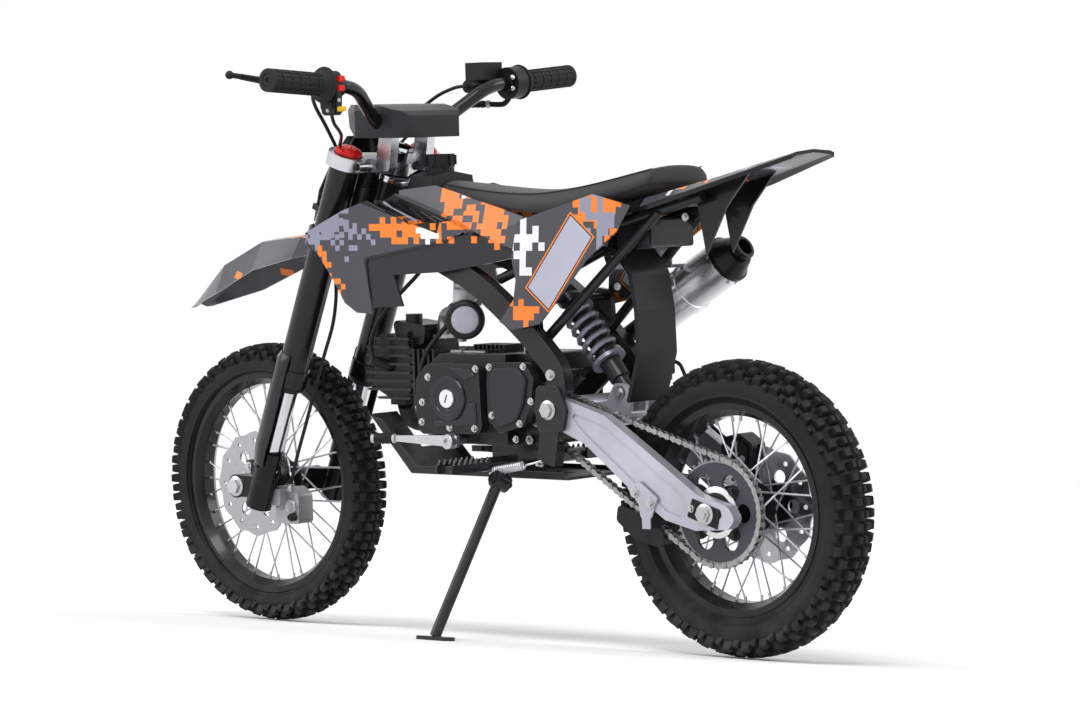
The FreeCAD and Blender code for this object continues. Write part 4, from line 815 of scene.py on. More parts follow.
def add_studs(name: str, body: Body, finish: Finish, bolt: Bolt, spots: list) -> None:
    """Sets fasteners on the machine, as one piece.

    Args:
        name: The piece's name.
        body: The body it rides on.
        finish: The fasteners' finish.
        bolt: Their sizes.
        spots: (place, aim) pairs in the machine's millimetres.
    """
    mesh = bpy.data.meshes.new(name)
    mesh.from_pydata([Vector(spot) for spot, aim in spots], [], [])
    aims = mesh.attributes.new("aim", "FLOAT_VECTOR", "POINT")
    for number, (spot, aim) in enumerate(spots):
        aims.data[number].vector = Vector(aim).normalized()
    whole = repeated(
        mesh, "studs_on_points", Head_Radius=bolt.head, Head_Height=bolt.height, Washer_Radius=bolt.washer,
        Recess=bolt.recess, Sides=bolt.sides, Material=finish.build(),
    )
    add_piece(name, whole, body, finish, smooth=30.0)


RUBBER = Finish(
    "knobbly_rubber", (0.009, 0.009, 0.0095), rough=0.6, bump=0.35, scale=700.0, tone=0.3, dust=0.06
)
RIM_BLACK = Finish("rim_black", BLACK, rough=0.22, coat=0.4, wear=0.15, bump=0.03, dust=0.05)
HUB_FINISH = RoundFinish("hub_and_spokes_rear", SOFT_BLACK, rough=0.3, bump=0.05, reach=38.6, wear=0.0)
HUB_FRONT = RoundFinish(
    "hub_and_spokes_front", SOFT_BLACK, rough=0.3, bump=0.05, reach=38.6, centre=FRONT_AXLE, wear=0.0
)
SPROCKET_STEEL = RoundFinish(
    "sprocket_steel", (0.05, 0.05, 0.066), rough=0.34, coat=0.2, wear=0.15, reach=77.0,
    outside=(0.3, 0.3, 0.31),
)
DRIVE_STEEL = Finish("drive_steel", (0.3, 0.29, 0.28), rough=0.35, metal=1.0, wear=0.3)
DISC_STEEL = Finish(
    "disc_steel", (0.46, 0.46, 0.48), rough=0.22, metal=1.0, texture=Texture.BRUSHED, bump=0.04,
    stretch=(30.0, 2.0, 30.0), wear=0.2, worn=(0.75, 0.75, 0.77),
)
CHAIN_STEEL = Finish(
    "chain_steel", (0.36, 0.36, 0.36), rough=0.3, metal=1.0, wear=0.3, worn=(0.62, 0.62, 0.62), dust=0.03
)
ZINC = Finish(
    "zinc_steel", (0.56, 0.56, 0.57), rough=0.28, metal=1.0, bump=0.05, wear=0.3, worn=(0.75, 0.75, 0.76)
)


# shares of the tread: middle, place round the pitch, width, length, and height
KNOBS = (
    (0.26, 0.0, 0.44, 0.34, 1.0), (0.16, 0.5, 0.26, 0.3, 1.0), (0.72, 0.5, 0.4, 0.38, 0.98),
    (0.98, 0.02, 0.32, 0.4, 0.96), (1.1, 0.52, 0.2, 0.26, 0.66),
)


@dataclass
class Tyre:
    """A knobbly tyre: a moulded carcass and one sector of knobs repeated round it."""

    name: str
    body: Body
    centre: Vector
    rim: float
    outer: float
    tread: float
    side: float
    bead: float
    count: int
    depth: float = 12.5
    taper: float = 0.82
    rings: int = 120

    def crown(self, y: float) -> float:
        """Gives the carcass's radius under the knobs at a place across the tyre."""
        share = min(abs(y) / self.side, 1.0)
        return self.outer - self.depth - (self.side * 0.42) * share ** 2.4

    def carcass(self) -> Shape:
        """Makes the moulded carcass with its bead lines.

        Returns:
            The carcass about the origin.
        """
        edge = self.crown(self.side)
        mid = (self.rim + edge) / 2
        half = [
            (self.bead, self.rim - 5.5), (self.bead + 1.5, self.rim + 3), (self.bead + 4.5, self.rim + 6),
            (self.side - 1.8, mid - 9), (self.side - 0.4, mid - 8), (self.side - 0.4, mid - 6),
            (self.side - 1.2, mid - 5), (self.side, mid + 4), (self.side - 0.4, edge - 3),
        ]
        half += [(self.side * share, self.crown(self.side * share)) for share in (0.93, 0.75, 0.5, 0.25, 0.0)]
        profile = half + [(-y, r) for y, r in reversed(half[:-1])]
        profile += [(-self.bead + 1.0, self.rim - 5.5), (self.bead - 1.0, self.rim - 5.5)]
        turns = [math.tau * step / self.rings for step in range(self.rings)]
        rings = [[(r * math.cos(turn), y, r * math.sin(turn)) for y, r in profile] for turn in turns]
        return Shape().skin(rings, hollow=True)

    def knob(self, shape: Shape, y: float, turn: float, wide: float, long: float, rise: float) -> None:
        """Adds one knob.

        Args:
            shape: The shape that it goes into.
            y: Its middle, across the tyre.
            turn: Its middle, round the tyre, in radians.
            wide: Its width across.
            long: Its length round.
            rise: How far it stands from the carcass.
        """
        slope = math.atan2(self.crown(y - 1.0) - self.crown(y + 1.0), 2.0)
        radial = Vector((math.cos(turn), 0, math.sin(turn)))
        side = Vector((0, 1, 0))
        round_ = radial.cross(side)
        out = radial * math.cos(slope) + side * math.sin(slope)
        wider = side * math.cos(slope) - radial * math.sin(slope)
        middle = radial * self.crown(y) + side * y
        corners = ((-1, -1), (1, -1), (1, 1), (-1, 1))
        shape.skin([
            [
                middle + out * level + wider * (a * wide / 2 * share) + round_ * (b * long / 2 * share)
                for a, b in corners
            ]
            for level, share in (
                (-3.0, 1.06), (rise * 0.55, 0.95), (rise - 0.6, self.taper), (rise, self.taper - 0.06)
            )
        ])

    def sector(self) -> Shape:
        """Makes the knobs of one pitch: middle, shoulder and side blocks, staggered.

        Returns:
            The knobs at the carcass's front.
        """
        shape = Shape()
        pitch = math.tau / self.count
        for side in (-1, 1):
            for y, turn, wide, long, rise in KNOBS:
                self.knob(
                    shape, side * self.tread * y, pitch * turn, self.tread * wide, self.outer * pitch * long,
                    self.depth * rise,
                )
        return shape

    def build(self) -> None:
        """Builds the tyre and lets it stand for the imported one."""
        whole = Shape(self.carcass().mesh(), ring_of(self.sector(), self.count, RUBBER)).bm
        mesh = bpy.data.meshes.new(self.name)
        whole.to_mesh(mesh)
        whole.free()
        mesh.transform(Matrix.Translation(self.centre))
        piece = add_piece(self.name, mesh, self.body, RUBBER, smooth=32.0)
        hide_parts(self.name.replace("_knobbly", ""))


@dataclass
class Wheel:
    """What a wheel carries beside its packed rim and hub: nipples and bolts."""

    name: str
    body: Body
    centre: Vector
    rim: float
    disc_y: float
    disc_out: float
    spokes: int = 36
    rim_depth: float = 20.0
    disc_bolts: int = 6
    bolt_circle: float = 31.0

    def nipples(self) -> None:
        """Sets a nipple on each spoke at the rim, spread across it by the spoke's lean."""
        inner = self.rim - self.rim_depth
        profile = [(0, 1.7), (0.6, 2.4), (7, 2.4), (9.4, 3.0)]
        sector = Shape().turned((inner - 9, 0, 0), (1, 0, 0), profile, 8)
        shape = Shape(ring_of(sector, self.spokes, ZINC))
        for vertex in shape.bm.verts:
            turn = round(math.atan2(vertex.co.z, vertex.co.x) / (math.tau / self.spokes))
            lean = (vertex.co.xz.length - inner) * 0.18
            vertex.co.y += (4.0 - lean) * (1 if turn % 2 else -1)
        mesh = shape.mesh(doubles=0.0001)
        mesh.transform(Matrix.Translation(self.centre))
        add_piece(self.name + "_nipples", mesh, self.body, ZINC)

    def bolts(self) -> None:
        """Bolts the brake disc to the hub."""
        spots = []
        for number in range(self.disc_bolts):
            turn = math.tau * (number + 0.5) / self.disc_bolts
            at = self.centre + Vector((math.cos(turn), 0, math.sin(turn))) * self.bolt_circle
            at.y = self.disc_y
            spots.append((at, (0, self.disc_out, 0)))
        add_studs(self.name + "_disc_bolts", self.body, ZINC, Bolt(4.4, 4.0, 6.0), spots)

    def build(self) -> None:
        """Builds the small pieces."""
        self.nipples()
        self.bolts()


@dataclass
class Chain:
    """The roller chain: paired plates and rollers that follow the pitch line."""

    pitch: float = 12.7
    y: float = 66.0
    rear_teeth: int = 41
    drive_teeth: int = 14
    drive: Vector = Vector((375.0, 0.0, 400.0))
    plate_gap: tuple[float, float] = (3.4, 5.0)
    plate: float = 1.3
    half_high: float = 4.6

    def radius(self, teeth: int) -> float:
        """Gives a sprocket's pitch radius."""
        return self.pitch / 2 / math.sin(math.pi / teeth)

    def line(self) -> list[Vector]:
        """Gives the closed pitch line round both sprockets.

        Returns:
            The line's points, in order.
        """
        rear = self.radius(self.rear_teeth)
        drive = self.radius(self.drive_teeth)
        gap = self.drive - REAR_AXLE
        gap.y = 0
        slope = math.atan2(gap.z, gap.x)
        open_ = math.acos((rear - drive) / gap.length)
        points = []
        for centre, radius, start, sweep in (
            (REAR_AXLE, rear, slope + open_, math.tau - 2 * open_),
            (self.drive, drive, slope - open_, 2 * open_),
        ):
            for step in range(41):
                turn = start + sweep * step / 40
                at = Vector((math.cos(turn), 0, math.sin(turn))) * radius
                points.append(Vector((centre.x + at.x, self.y, centre.z + at.z)))
        return points

    def link(self, gap: float) -> bpy.types.Mesh:
        """Makes one link along x: two waisted plates, and a roller at its start.

        Args:
            gap: How far the plates stand from the middle.

        Returns:
            The link's mesh about its middle.
        """
        half = self.pitch / 2
        high = self.half_high
        outline = []
        for side in (1, -1):
            for step in range(7):
                turn = math.pi / 2 * side - math.pi * step / 6 * side
                outline.append(
                    (side * half + side * high * math.cos(turn), side * high * math.sin(turn) * side)
                )
            outline.append((0.0, -high * 0.62 * side))
        shape = Shape().prism(outline, -gap - self.plate, -gap).prism(outline, gap, gap + self.plate)
        shape.turned((-half, -gap - 2.2, 0), (0, 1, 0), [(0, 1.9), (2 * gap + 4.4, 1.9)], 10)
        shape.turned((-half, -gap + 0.3, 0), (0, 1, 0), [(0, 3.9), (2 * gap - 0.6, 3.9)], 12)
        return shape.mesh()

    def build(self) -> None:
        """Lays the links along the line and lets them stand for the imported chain."""
        line = self.line()
        edges = [(step, (step + 1) % len(line)) for step in range(len(line))]
        length = sum((line[far] - line[near]).length for near, far in edges)
        mesh = bpy.data.meshes.new("pitch_line")
        mesh.from_pydata(line, edges, [])
        links = [bpy.data.objects.new("link", self.link(gap)) for gap in self.plate_gap]
        inputs = {
            "Count": round(length / self.pitch / 2) * 2, "Inner": links[0], "Outer": links[1],
            "Material": CHAIN_STEEL.build(),
        }
        mesh = repeated(mesh, "links_along_line", **inputs)
        for link in links:
            bpy.data.objects.remove(link)
        piece = add_piece("chain_links", mesh, Body.CHASSIS, CHAIN_STEEL)
        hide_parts("chain")


def build_links() -> None:
    """Builds the tree that sets two kinds of link in turn along a closed line."""
    links = Group(
        "links_along_line",
        {"Line": GEOMETRY, "Count": WHOLE, "Inner": OBJECT, "Outer": OBJECT, "Material": MATERIAL},
        {"Chain": GEOMETRY}, "GeometryNodeTree",
    )
    g, i = links.graph, links.inside
    curve = g.add("GeometryNodeMeshToCurve", {"Mesh": i["Line"]}).outputs[0]
    points = g.add("GeometryNodeCurveToPoints", {"Curve": curve, "Count": i["Count"]}, mode="COUNT").outputs
    aim = {"Vector": points["Tangent"]}
    turn = g.add("FunctionNodeAlignRotationToVector", aim, axis="X", pivot_axis="Y").outputs[0]
    odd = g.math("MODULO", g.add("GeometryNodeInputIndex").outputs[0], 2.0)
    whole = g.add("GeometryNodeJoinGeometry")
    for name, picked in (("Inner", odd), ("Outer", g.math("SUBTRACT", 1.0, odd))):
        link = g.add("GeometryNodeObjectInfo", {"Object": i[name]}).outputs["Geometry"]
        copies = g.instances(points["Points"], link, turn, Selection=picked)
        g.tree.links.new(copies, whole.inputs[0])
    links.dress("Chain", whole.outputs[0])


FORK_BLACK = Finish("fork_black", BLACK, rough=0.2, coat=0.5, bump=0.03, wear=0.1)
CHROME = Finish("hard_chrome", (0.72, 0.72, 0.75), rough=0.12, metal=1.0, bump=0.02, tone=0.1)
FORK_LEG = RoundFinish(
    "fork_leg_and_foot", (0.7, 0.7, 0.73), rough=0.16, metal=1.0, bump=0.03, tone=0.1, reach=0.0,
    centre=Vector((0.0, 0.0, 300.0)), axis=Vector((0.0, 0.0, -1.0)), outside=BLACK, outside_metal=0.0,
    along=True,
)
CLAMP_SILVER = Finish(
    "machined_clamp", (0.66, 0.67, 0.7), rough=0.28, metal=1.0, texture=Texture.BRUSHED,
    stretch=(40.0, 3.0, 40.0), bump=0.06, wear=0.3, worn=(0.85, 0.85, 0.87),
)
CAP_RED = Finish("red_anodised", (0.62, 0.012, 0.01), rough=0.24, metal=0.35, coat=0.3, bump=0.03, tone=0.15)
BAR_BLACK = Finish("bar_black", BLACK, rough=0.2, coat=0.5, bump=0.03)
CONTROL_BLACK = Finish("control_black", SOFT_BLACK, rough=0.42, bump=0.12)
GRIP_RUBBER = Finish("grip_rubber", (0.017, 0.017, 0.018), rough=0.68, bump=0.3, scale=1300.0)
PAD_VINYL = RoundFinish(
    "bar_pad_vinyl", (0.02, 0.02, 0.023), rough=0.42, bump=0.25, texture=Texture.LEATHER, scale=1100.0,
    centre=Vector((711.0, 0.0, 868.0)), axis=Vector((0.1, 0.0, 1.0)), reach=0.0,
    outside=(0.075, 0.075, 0.085), outside_metal=0.0, along=True,
)
GLOSS_BLACK = Finish("gloss_black_plastic", (0.009, 0.009, 0.011), rough=0.16, coat=0.6, bump=0.02, dust=0.03)
MOULDED_BLACK = Finish("moulded_black", SOFT_BLACK, rough=0.46, bump=0.16, scale=1200.0)
FRAME_BLACK = Finish(
    "frame_powder", (0.014, 0.014, 0.016), rough=0.26, coat=0.4, bump=0.08, scale=500.0, wear=0.25
)
ARM_SILVER = Finish("arm_silver", (0.5, 0.5, 0.57), rough=0.33, metal=0.55, bump=0.06, scale=600.0, wear=0.2)
LEVER_SILVER = Finish("lever_silver", (0.6, 0.6, 0.62), rough=0.3, metal=0.9, wear=0.3)
ENGINE_BLACK = Finish(
    "engine_casting", (0.014, 0.014, 0.016), rough=0.34, coat=0.2, bump=0.22, scale=420.0, wear=0.35
)
PIPE_BLACK = Finish(
    "pipe_heatproof", (0.02, 0.02, 0.021), rough=0.5, bump=0.15, wear=0.3, worn=(0.2, 0.17, 0.15)
)
PLATE_SHIELD = Finish(
    "skid_black", (0.02, 0.02, 0.022), rough=0.38, bump=0.12, wear=0.5, worn=(0.4, 0.4, 0.42), dust=0.2
)
HOSE_BLACK = Finish("hose_black", (0.014, 0.014, 0.015), rough=0.4, bump=0.1)
CALIPER = Finish(
    "caliper_casting", (0.42, 0.42, 0.44), rough=0.4, metal=0.75, bump=0.2, scale=500.0, wear=0.3
)
SILENCER_LINE = Vector((-math.cos(math.radians(30)), 0, math.sin(math.radians(30))))
SILENCER = RoundFinish(
    "brushed_can", (0.7, 0.7, 0.72), tone=0.14, rough=0.3, metal=1.0, texture=Texture.BRUSHED,
    stretch=(3.0, 60.0, 3.0), bump=0.05, centre=Vector((297.0, -128.0, 513.0)), axis=SILENCER_LINE,
    reach=195.0, outside=BLACK, outside_metal=0.2, along=True, dust=0.04,
)
SHOCK_FOOT = Vector((229.0, 0.0, 410.0))
SHOCK_TOP = Vector((347.0, 0.0, 554.0))
SHOCK = RoundFinish(
    "spring_and_body", (0.03, 0.03, 0.033), rough=0.3, coat=0.2, centre=SHOCK_FOOT,
    axis=(SHOCK_TOP - SHOCK_FOOT).normalized(), reach=18.6, outside=(0.3, 0.3, 0.37), outside_metal=0.35,
)
FILTER_BACK = Vector((488.0, 96.0, 526.0))
FILTER_LINE = Vector((-0.664, 0.744, 0.04))
CARBURETTOR = RoundFinish(
    "carburettor_alloy", (0.55, 0.55, 0.57), rough=0.36, metal=1.0, bump=0.25, scale=420.0,
    centre=Vector((521.0, 59.0, 524.0)), axis=FILTER_LINE, reach=-3.0, outside=(0.025, 0.025, 0.028),
    outside_metal=0.0, along=True,
)
GUIDE = RoundFinish(
    "guide_and_bracket", SOFT_BLACK, rough=0.4, bump=0.12, centre=Vector((0.0, 0.0, 0.0)), reach=98.1,
    outside=(0.5, 0.5, 0.57), outside_metal=0.55, along=True,
)

# where each printed field of squares lies on the machine
SHROUD_FILM = FilmFinish(
    "shroud_film", SLATE, rough=0.2, coat=0.35, bump=0.02, tone=0.12, dust=0.02,
    bands=(
        # under side and louvre
        Band(MATT, -9.84, 0.0, 733.0, -2000.0, 556.0, 0.5, 0.0),
        # wing
        Band(ORANGE, 0.0, 654.0, 684.0, 500.0, 645.0, 11.0, 26.0, 1.0),
        Band(WHITE, 0.0, 652.0, 668.0, 520.0, 560.0, 9.0, 22.0, 2.0),
        Band(LAVENDER, -25.0, 912.0, 960.0, 345.0, 445.0, 10.0, 44.0, 3.0),
        Band(LAVENDER, -25.0, 880.0, 905.0, 330.0, 400.0, 9.0, 70.0, 4.0),
        Band(ORANGE, 57.2, -302.0, -286.0, 850.0, 950.0, 9.0, 26.0, 5.0),
        # deep recess, then the cover beside the tank
        Band(BLACK, 18.8, 460.0, 481.6, 712.0, 900.0, 0.5, 0.0),
        Band(ORANGE, 18.8, 482.0, 600.0, 596.0, 745.0, 11.0, 40.0, 6.0),
        Band(SLATE, 18.8, 516.0, 545.0, 650.0, 735.0, 10.0, 56.0, 7.0),
        Band(WHITE, 18.8, 520.0, 534.0, 690.0, 712.0, 9.0, 20.0, 8.0),
    ),
)
PANEL_FILM = FilmFinish(
    "side_panel_film", SLATE, rough=0.2, coat=0.35, bump=0.02, tone=0.12, dust=0.02,
    bands=(
        Band(WHITE, 0.0, 600.0, 690.0, 318.0, 356.0, 13.0, 40.0, 9.0),
        Band(ORANGE, 0.0, 664.0, 730.0, 140.0, 236.0, 11.0, 38.0, 10.0),
        Band(LAVENDER, 0.0, 650.0, 706.0, 140.0, 206.0, 12.0, 64.0, 11.0),
        Band(ORANGE, 0.0, 515.0, 545.0, 300.0, 360.0, 11.0, 34.0, 12.0),
        # blank number field with its border
        Band(ORANGE, -52.4, 557.0, 621.0, -402.0, -252.0, 0.5, 0.0),
        Band(BLACK, -52.4, 559.5, 618.5, -399.5, -254.5, 0.5, 0.0),
        Band(PALE, -52.4, 561.5, 616.5, -397.5, -256.5, 0.5, 0.0),
    ),
)
FENDER_FILM = FilmFinish(
    "fender_film", BLACK, rough=0.24, coat=0.35, bump=0.02, tone=0.12, dust=0.03,
    bands=(
        Band(SLATE, -14.9, 711.5, 900.0, -280.0, -60.0, 0.5, 0.0),
        Band(ORANGE, -14.9, 717.0, 900.0, -215.0, -130.0, 9.0, 9.0, 13.0),
        Band(WHITE, -14.9, 717.0, 900.0, -132.0, -108.0, 9.0, 9.0, 14.0),
        Band(LAVENDER, -14.9, 717.0, 900.0, -285.0, -222.0, 9.0, 12.0, 15.0),
    ),
)
FRONT_FILM = FilmFinish(
    "front_fender_film", SLATE, rough=0.22, coat=0.35, bump=0.02, tone=0.12, dust=0.03,
    bands=(
        Band(ORANGE, 12.0, 359.0, 371.0, 1130.0, 1153.0, 0.5, 0.0),
        Band(ORANGE, 0.0, 657.0, 680.0, 900.0, 962.0, 9.0, 9.0, 17.0),
    ),
)

# finish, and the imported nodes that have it
NODE_FINISHES = (
    (RIM_BLACK, "rear_rim front_rim"),
    (HUB_FINISH, "rear_hub"),
    (HUB_FRONT, "front_hub"),
    (SPROCKET_STEEL, "rear_sprocket"),
    (DRIVE_STEEL, "drive_sprocket"),
    (DISC_STEEL, "rear_disc front_disc"),
    (FORK_BLACK, "fork_outer_left fork_outer_right lower_clamp"),
    (FORK_LEG, "fork_leg_left fork_leg_right"),
    (CLAMP_SILVER, "upper_clamp"),
    (CAP_RED, "fork_caps"),
    (BAR_BLACK, "handlebar"),
    (CONTROL_BLACK, "controls_left controls_right rear_caliper"),
    (GRIP_RUBBER, "grip_left grip_right"),
    (PAD_VINYL, "bar_pad"),
    (GLOSS_BLACK, "number_plate fork_guards"),
    (MOULDED_BLACK, "inner_mudguard tank fuel_cap"),
    (FRAME_BLACK, "frame_head frame_left frame_right subframe footpegs brake_pedal side_stand"),
    (PLATE_SHIELD, "skid_plate"),
    (ZINC, "pivot_bolt rear_axle front_axle"),
    (ARM_SILVER, "swingarm"),
    (LEVER_SILVER, "gear_lever"),
    (SHOCK, "shock"),
    (ENGINE_BLACK, "crankcase cylinder"),
    (CARBURETTOR, "carburettor"),
    (PIPE_BLACK, "exhaust_pipe"),
    (SILENCER, "silencer"),
    (CALIPER, "front_caliper"),
    (HOSE_BLACK, "front_brake_hose rear_brake_line"),
    (SHROUD_FILM, "shroud_left shroud_right"),
    (PANEL_FILM, "side_panel_left side_panel_right"),
    (FENDER_FILM, "rear_fender"),
    (FRONT_FILM, "front_fender"),
    (GUIDE, "chain_guide"),
)


def dress_nodes() -> None:
    """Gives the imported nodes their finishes."""
    for finish, nodes in NODE_FINISHES:
        for node in nodes.split():
            for slot in frame["nodes"][node].material_slots:
                slot.material = finish.build()
            LOG.info("%s: %s", node, finish.name)


STEER_AHEAD = Vector((0.92718, 0.0, 0.37461))
LEG_Y = 90.0
LEFTWARD = (0, 1, 0)
RED_PLASTIC = Finish("red_switch", (0.72, 0.02, 0.012), rough=0.3, bump=0.03, tone=0.15, dust=0.02)
YELLOW_PLASTIC = Finish("yellow_button", (0.8, 0.5, 0.02), rough=0.34, bump=0.03, tone=0.15, dust=0.02)
BLACK_ZINC = Finish("black_fastener", (0.012, 0.012, 0.013), rough=0.3, metal=0.4, bump=0.05, wear=0.3)
CABLE_BLACK = Finish("cable_sheath", (0.012, 0.012, 0.013), rough=0.34, bump=0.08, scale=1500.0)


def steer_point(along: float, ahead: float = 0.0, y: float = 0.0) -> Vector:
    """Gives a point down the stem from its top, ahead of it and to the left."""
    return STEM_TOP + STEER_DOWN * along + STEER_AHEAD * ahead + Vector((0, y, 0))


@dataclass
class Steering:
    """The small parts of the fork and the handlebar."""

    bar_end: Vector = Vector((651.0, 358.0, 917.0))
    bar_line: Vector = Vector((-0.00504, 0.9975, 0.0706))
    fork_ahead: float = 28.0
    grip_in: float = 238.0
    grip_out: float = 360.0
    grip_ribs: int = 14

    def on_bar(self, y: float) -> Vector:
        """Gives a point of the left end of the bar at this distance from the middle."""
        return self.bar_end - self.bar_line * ((self.bar_end.y - y) / self.bar_line.y)

    def on_leg(self, z: float, side: int) -> Vector:
        """Gives the point of a fork leg's middle line at this height."""
        down = (z - STEM_TOP.z - self.fork_ahead * STEER_AHEAD.z) / STEER_DOWN.z
        return steer_point(down, self.fork_ahead, side * LEG_Y)

    def stem(self) -> None:
        """Adds the polished stem nut, its washer and the ring over the upper bearing."""
        washer = [(0.3, 21.0), (0.9, 22.0), (2.0, 22.0), (2.6, 21.0)]
        nut = [(2.0, 20.9), (8.4, 20.9), (9.9, 18.6), (9.9, 12.5), (8.2, 12.0)]
        shape = Shape().turned(STEM_TOP, -STEER_DOWN, washer, 32).turned(STEM_TOP, -STEER_DOWN, nut, 6)
        ring = [(0, 29.2), (0.8, 30.2), (3.4, 30.2), (4.0, 29.5), (5.4, 29.5), (6.0, 30.2), (10.4, 30.2)]
        ring.append((11.2, 29.2))
        shape.turned(steer_point(40.5), STEER_DOWN, ring, 40)
        shape.piece("stem_nut_and_ring", Body.STEERING, CHROME)

    def pinch_bolts(self) -> None:
        """Closes the four fork eyes with black bolts."""
        spots = [
            (steer_point(along, self.fork_ahead - 33.0, side * (LEG_Y + 8.4)), (0, side, 0))
            for along in (26.1, 166.0) for side in (-1, 1)
        ]
        add_studs("fork_pinch_bolts", Body.STEERING, BLACK_ZINC, Bolt(5.2, 5.0, 7.0, 16, 2.6), spots)

    def legs(self) -> None:
        """Adds each leg's knurled cap with its adjuster, and its dust seal with its spring ring."""
        dome = [(4.6, 22.8), (6.4, 22.2), (9.0, 19.4), (10.2, 16.4), (10.2, 9.0), (8.6, 8.0)]
        knob = [(8.0, 5.0), (11.0, 5.0), (12.4, 3.8)]
        lip = [(-30, 25.2), (-29, 26.4), (-2, 26.4), (1.5, 24.6), (2.6, 21.0), (5.4, 19.6), (6.6, 17.4)]
        caps, seals = Shape(), Shape()
        for side in (-1, 1):
            top = self.on_leg(797.0, side)
            caps.turned(top, -STEER_DOWN, dome, 12).turned(top, -STEER_DOWN, knob, 16)
            seals.turned(self.on_leg(410.0, side), STEER_DOWN, lip, 32)
        caps.piece("fork_cap_crowns", Body.STEERING, CAP_RED, smooth=24.0)
        seals.piece("fork_seals", Body.STEERING, MOULDED_BLACK)

    def grips(self) -> None:
        """Adds the grips' lengthwise ribs, their wide inner flange and their ends."""
        long = self.grip_out - self.grip_in - 6.0
        outline = [(17.0, 0.0), (18.9, 1.0), (18.9, long - 1.0), (17.0, long)]
        sector = Shape().skin([[(x, y, z) for x, y in outline] for z in (-1.1, 1.1)])
        ribs = ring_of(sector, self.grip_ribs, GRIP_RUBBER)
        turn = Vector(LEFTWARD).rotation_difference(self.bar_line).to_matrix().to_4x4()
        ribs.transform(Matrix.Translation(self.on_bar(self.grip_in + 3.0)) @ turn)
        flange = [
            (-5.6, 18.0), (-5.0, 28.8), (-3.4, 29.5), (-1.6, 28.6), (1.0, 24.0), (6.0, 19.6), (14.0, 18.4)
        ]
        shape = Shape(ribs).turned(self.on_bar(self.grip_in), self.bar_line, flange, 32)
        end = [(-5.0, 17.6), (-3.5, 18.8), (-1.0, 19.1), (0.0, 18.7), (0.4, 17.4), (0.4, 5.0), (-1.6, 4.6)]
        shape.turned(self.on_bar(self.grip_out - 0.6), self.bar_line, end, 28)
        left = shape.mesh(doubles=0.0001)
        right = left.copy()
        right.transform(Matrix.Scale(-1, 4, LEFTWARD))
        right.flip_normals()
        add_piece("grip_ribs_left", left, Body.STEERING, GRIP_RUBBER)
        add_piece("grip_ribs_right", right, Body.STEERING, GRIP_RUBBER)

    def switches(self) -> None:
        """Adds the switch block beside the left grip, with its buttons, and the throttle's screws."""
        x, y, z = self.on_bar(221.0)
        outline = [(x - 19, z - 48), (x - 21, z - 20), (x - 21, z + 16), (x - 14, z + 23), (x + 12, z + 23)]
        outline += [(x + 20, z + 14), (x + 20, z - 18), (x + 12, z - 48)]
        block = Shape().prism(outline, y - 9, y + 8)
        block.piece("switch_block", Body.STEERING, CONTROL_BLACK, bevel=2.4)
        for name, finish, low, high, out in (
            ("switch_red_upper", RED_PLASTIC, z + 4, z + 15, 5.0),
            ("switch_red_lower", RED_PLASTIC, z - 11, z, 4.0),
            ("horn_button", YELLOW_PLASTIC, z - 43, z - 34, 6.0),
        ):
            outline = [(x - 21 - out, low + 2), (x - 21 - out, high), (x - 17, high), (x - 17, low)]
            Shape().prism(outline, y - 10.5, y + 4).piece(name, Body.STEERING, finish, bevel=1.2)
        spots = [((x - 21, y + 1, z - 24), (-1, 0, 0)), ((x - 2, y + 8, z - 40), LEFTWARD)]
        add_studs("switch_screws", Body.STEERING, ZINC, Bolt(2.6, 2.0, 3.4, 12, 1.3), spots)
        x, _, z = self.on_bar(214.0)
        spots = [((x - 18, -198, z + 9 * side), (-1, 0, 0.3 * side)) for side in (1, -1)]
        add_studs("throttle_screws", Body.STEERING, ZINC, Bolt(3.2, 3.0, 4.4, 12, 1.6), spots)

    def cables(self) -> None:
        """Lays the wires and cables from the controls to the back of the number board."""
        wires = [
            (652, 219, 866), (660, 208, 848), (686, 168, 836), (722, 124, 826), (762, 92, 806), (786, 66, 786)
        ]
        clutch = [
            (688, 208, 906), (712, 200, 900), (742, 168, 880), (762, 122, 846), (780, 82, 812), (791, 58, 792)
        ]
        throttle = [(700, -208, 873), (735, -188, 872), (764, -160, 862), (784, -110, 836), (790, -66, 796)]
        cables = Shape().tube(wires, 3.0, 10, 10).tube(clutch, 3.2, 10, 10).tube(throttle, 2.8, 10, 10)
        cables.piece("control_cables", Body.STEERING, CABLE_BLACK)
        bend = [(668, -226, 882), (672, -222, 872), (684, -215, 871), (704, -206, 873)]
        boot = [(4, 5.6), (10, 6.4), (14, 5.4), (18, 6.0), (22, 5.0), (26, 5.4), (44, 3.4)]
        nut = [(-4, 6.4), (-3.4, 7.2), (2.4, 7.2), (3, 6.4)]
        at, line = (700, -208, 873), (35, 20, -1)
        elbow = Shape().tube(bend, 4.6, 12, 8).turned(at, line, boot, 16)
        elbow.piece("throttle_elbow", Body.STEERING, MOULDED_BLACK)
        Shape().turned(at, line, nut, 6).piece("throttle_nut", Body.STEERING, ZINC)

    def guards(self) -> None:
        """Adds the blades that shield the outer side of each fork leg."""
        section = [(26, -12), (29, 4), (25, 19), (14, 28), (0, 32), (-13, 30)]
        closed = section + [(ahead * 0.92, out * 0.92) for ahead, out in reversed(section)]
        shape = Shape()
        for side in (-1, 1):
            shape.skin([
                [
                    steer_point(down, self.fork_ahead + ahead * share, side * (LEG_Y + out * share))
                    for ahead, out in closed
                ]
                for down, share in ((372, 0.86), (384, 1.0), (540, 1.0), (566, 0.9), (574, 0.84))
            ])
        shape.piece("fork_guard_blades", Body.STEERING, GLOSS_BLACK, smooth=50.0, bevel=0.8)

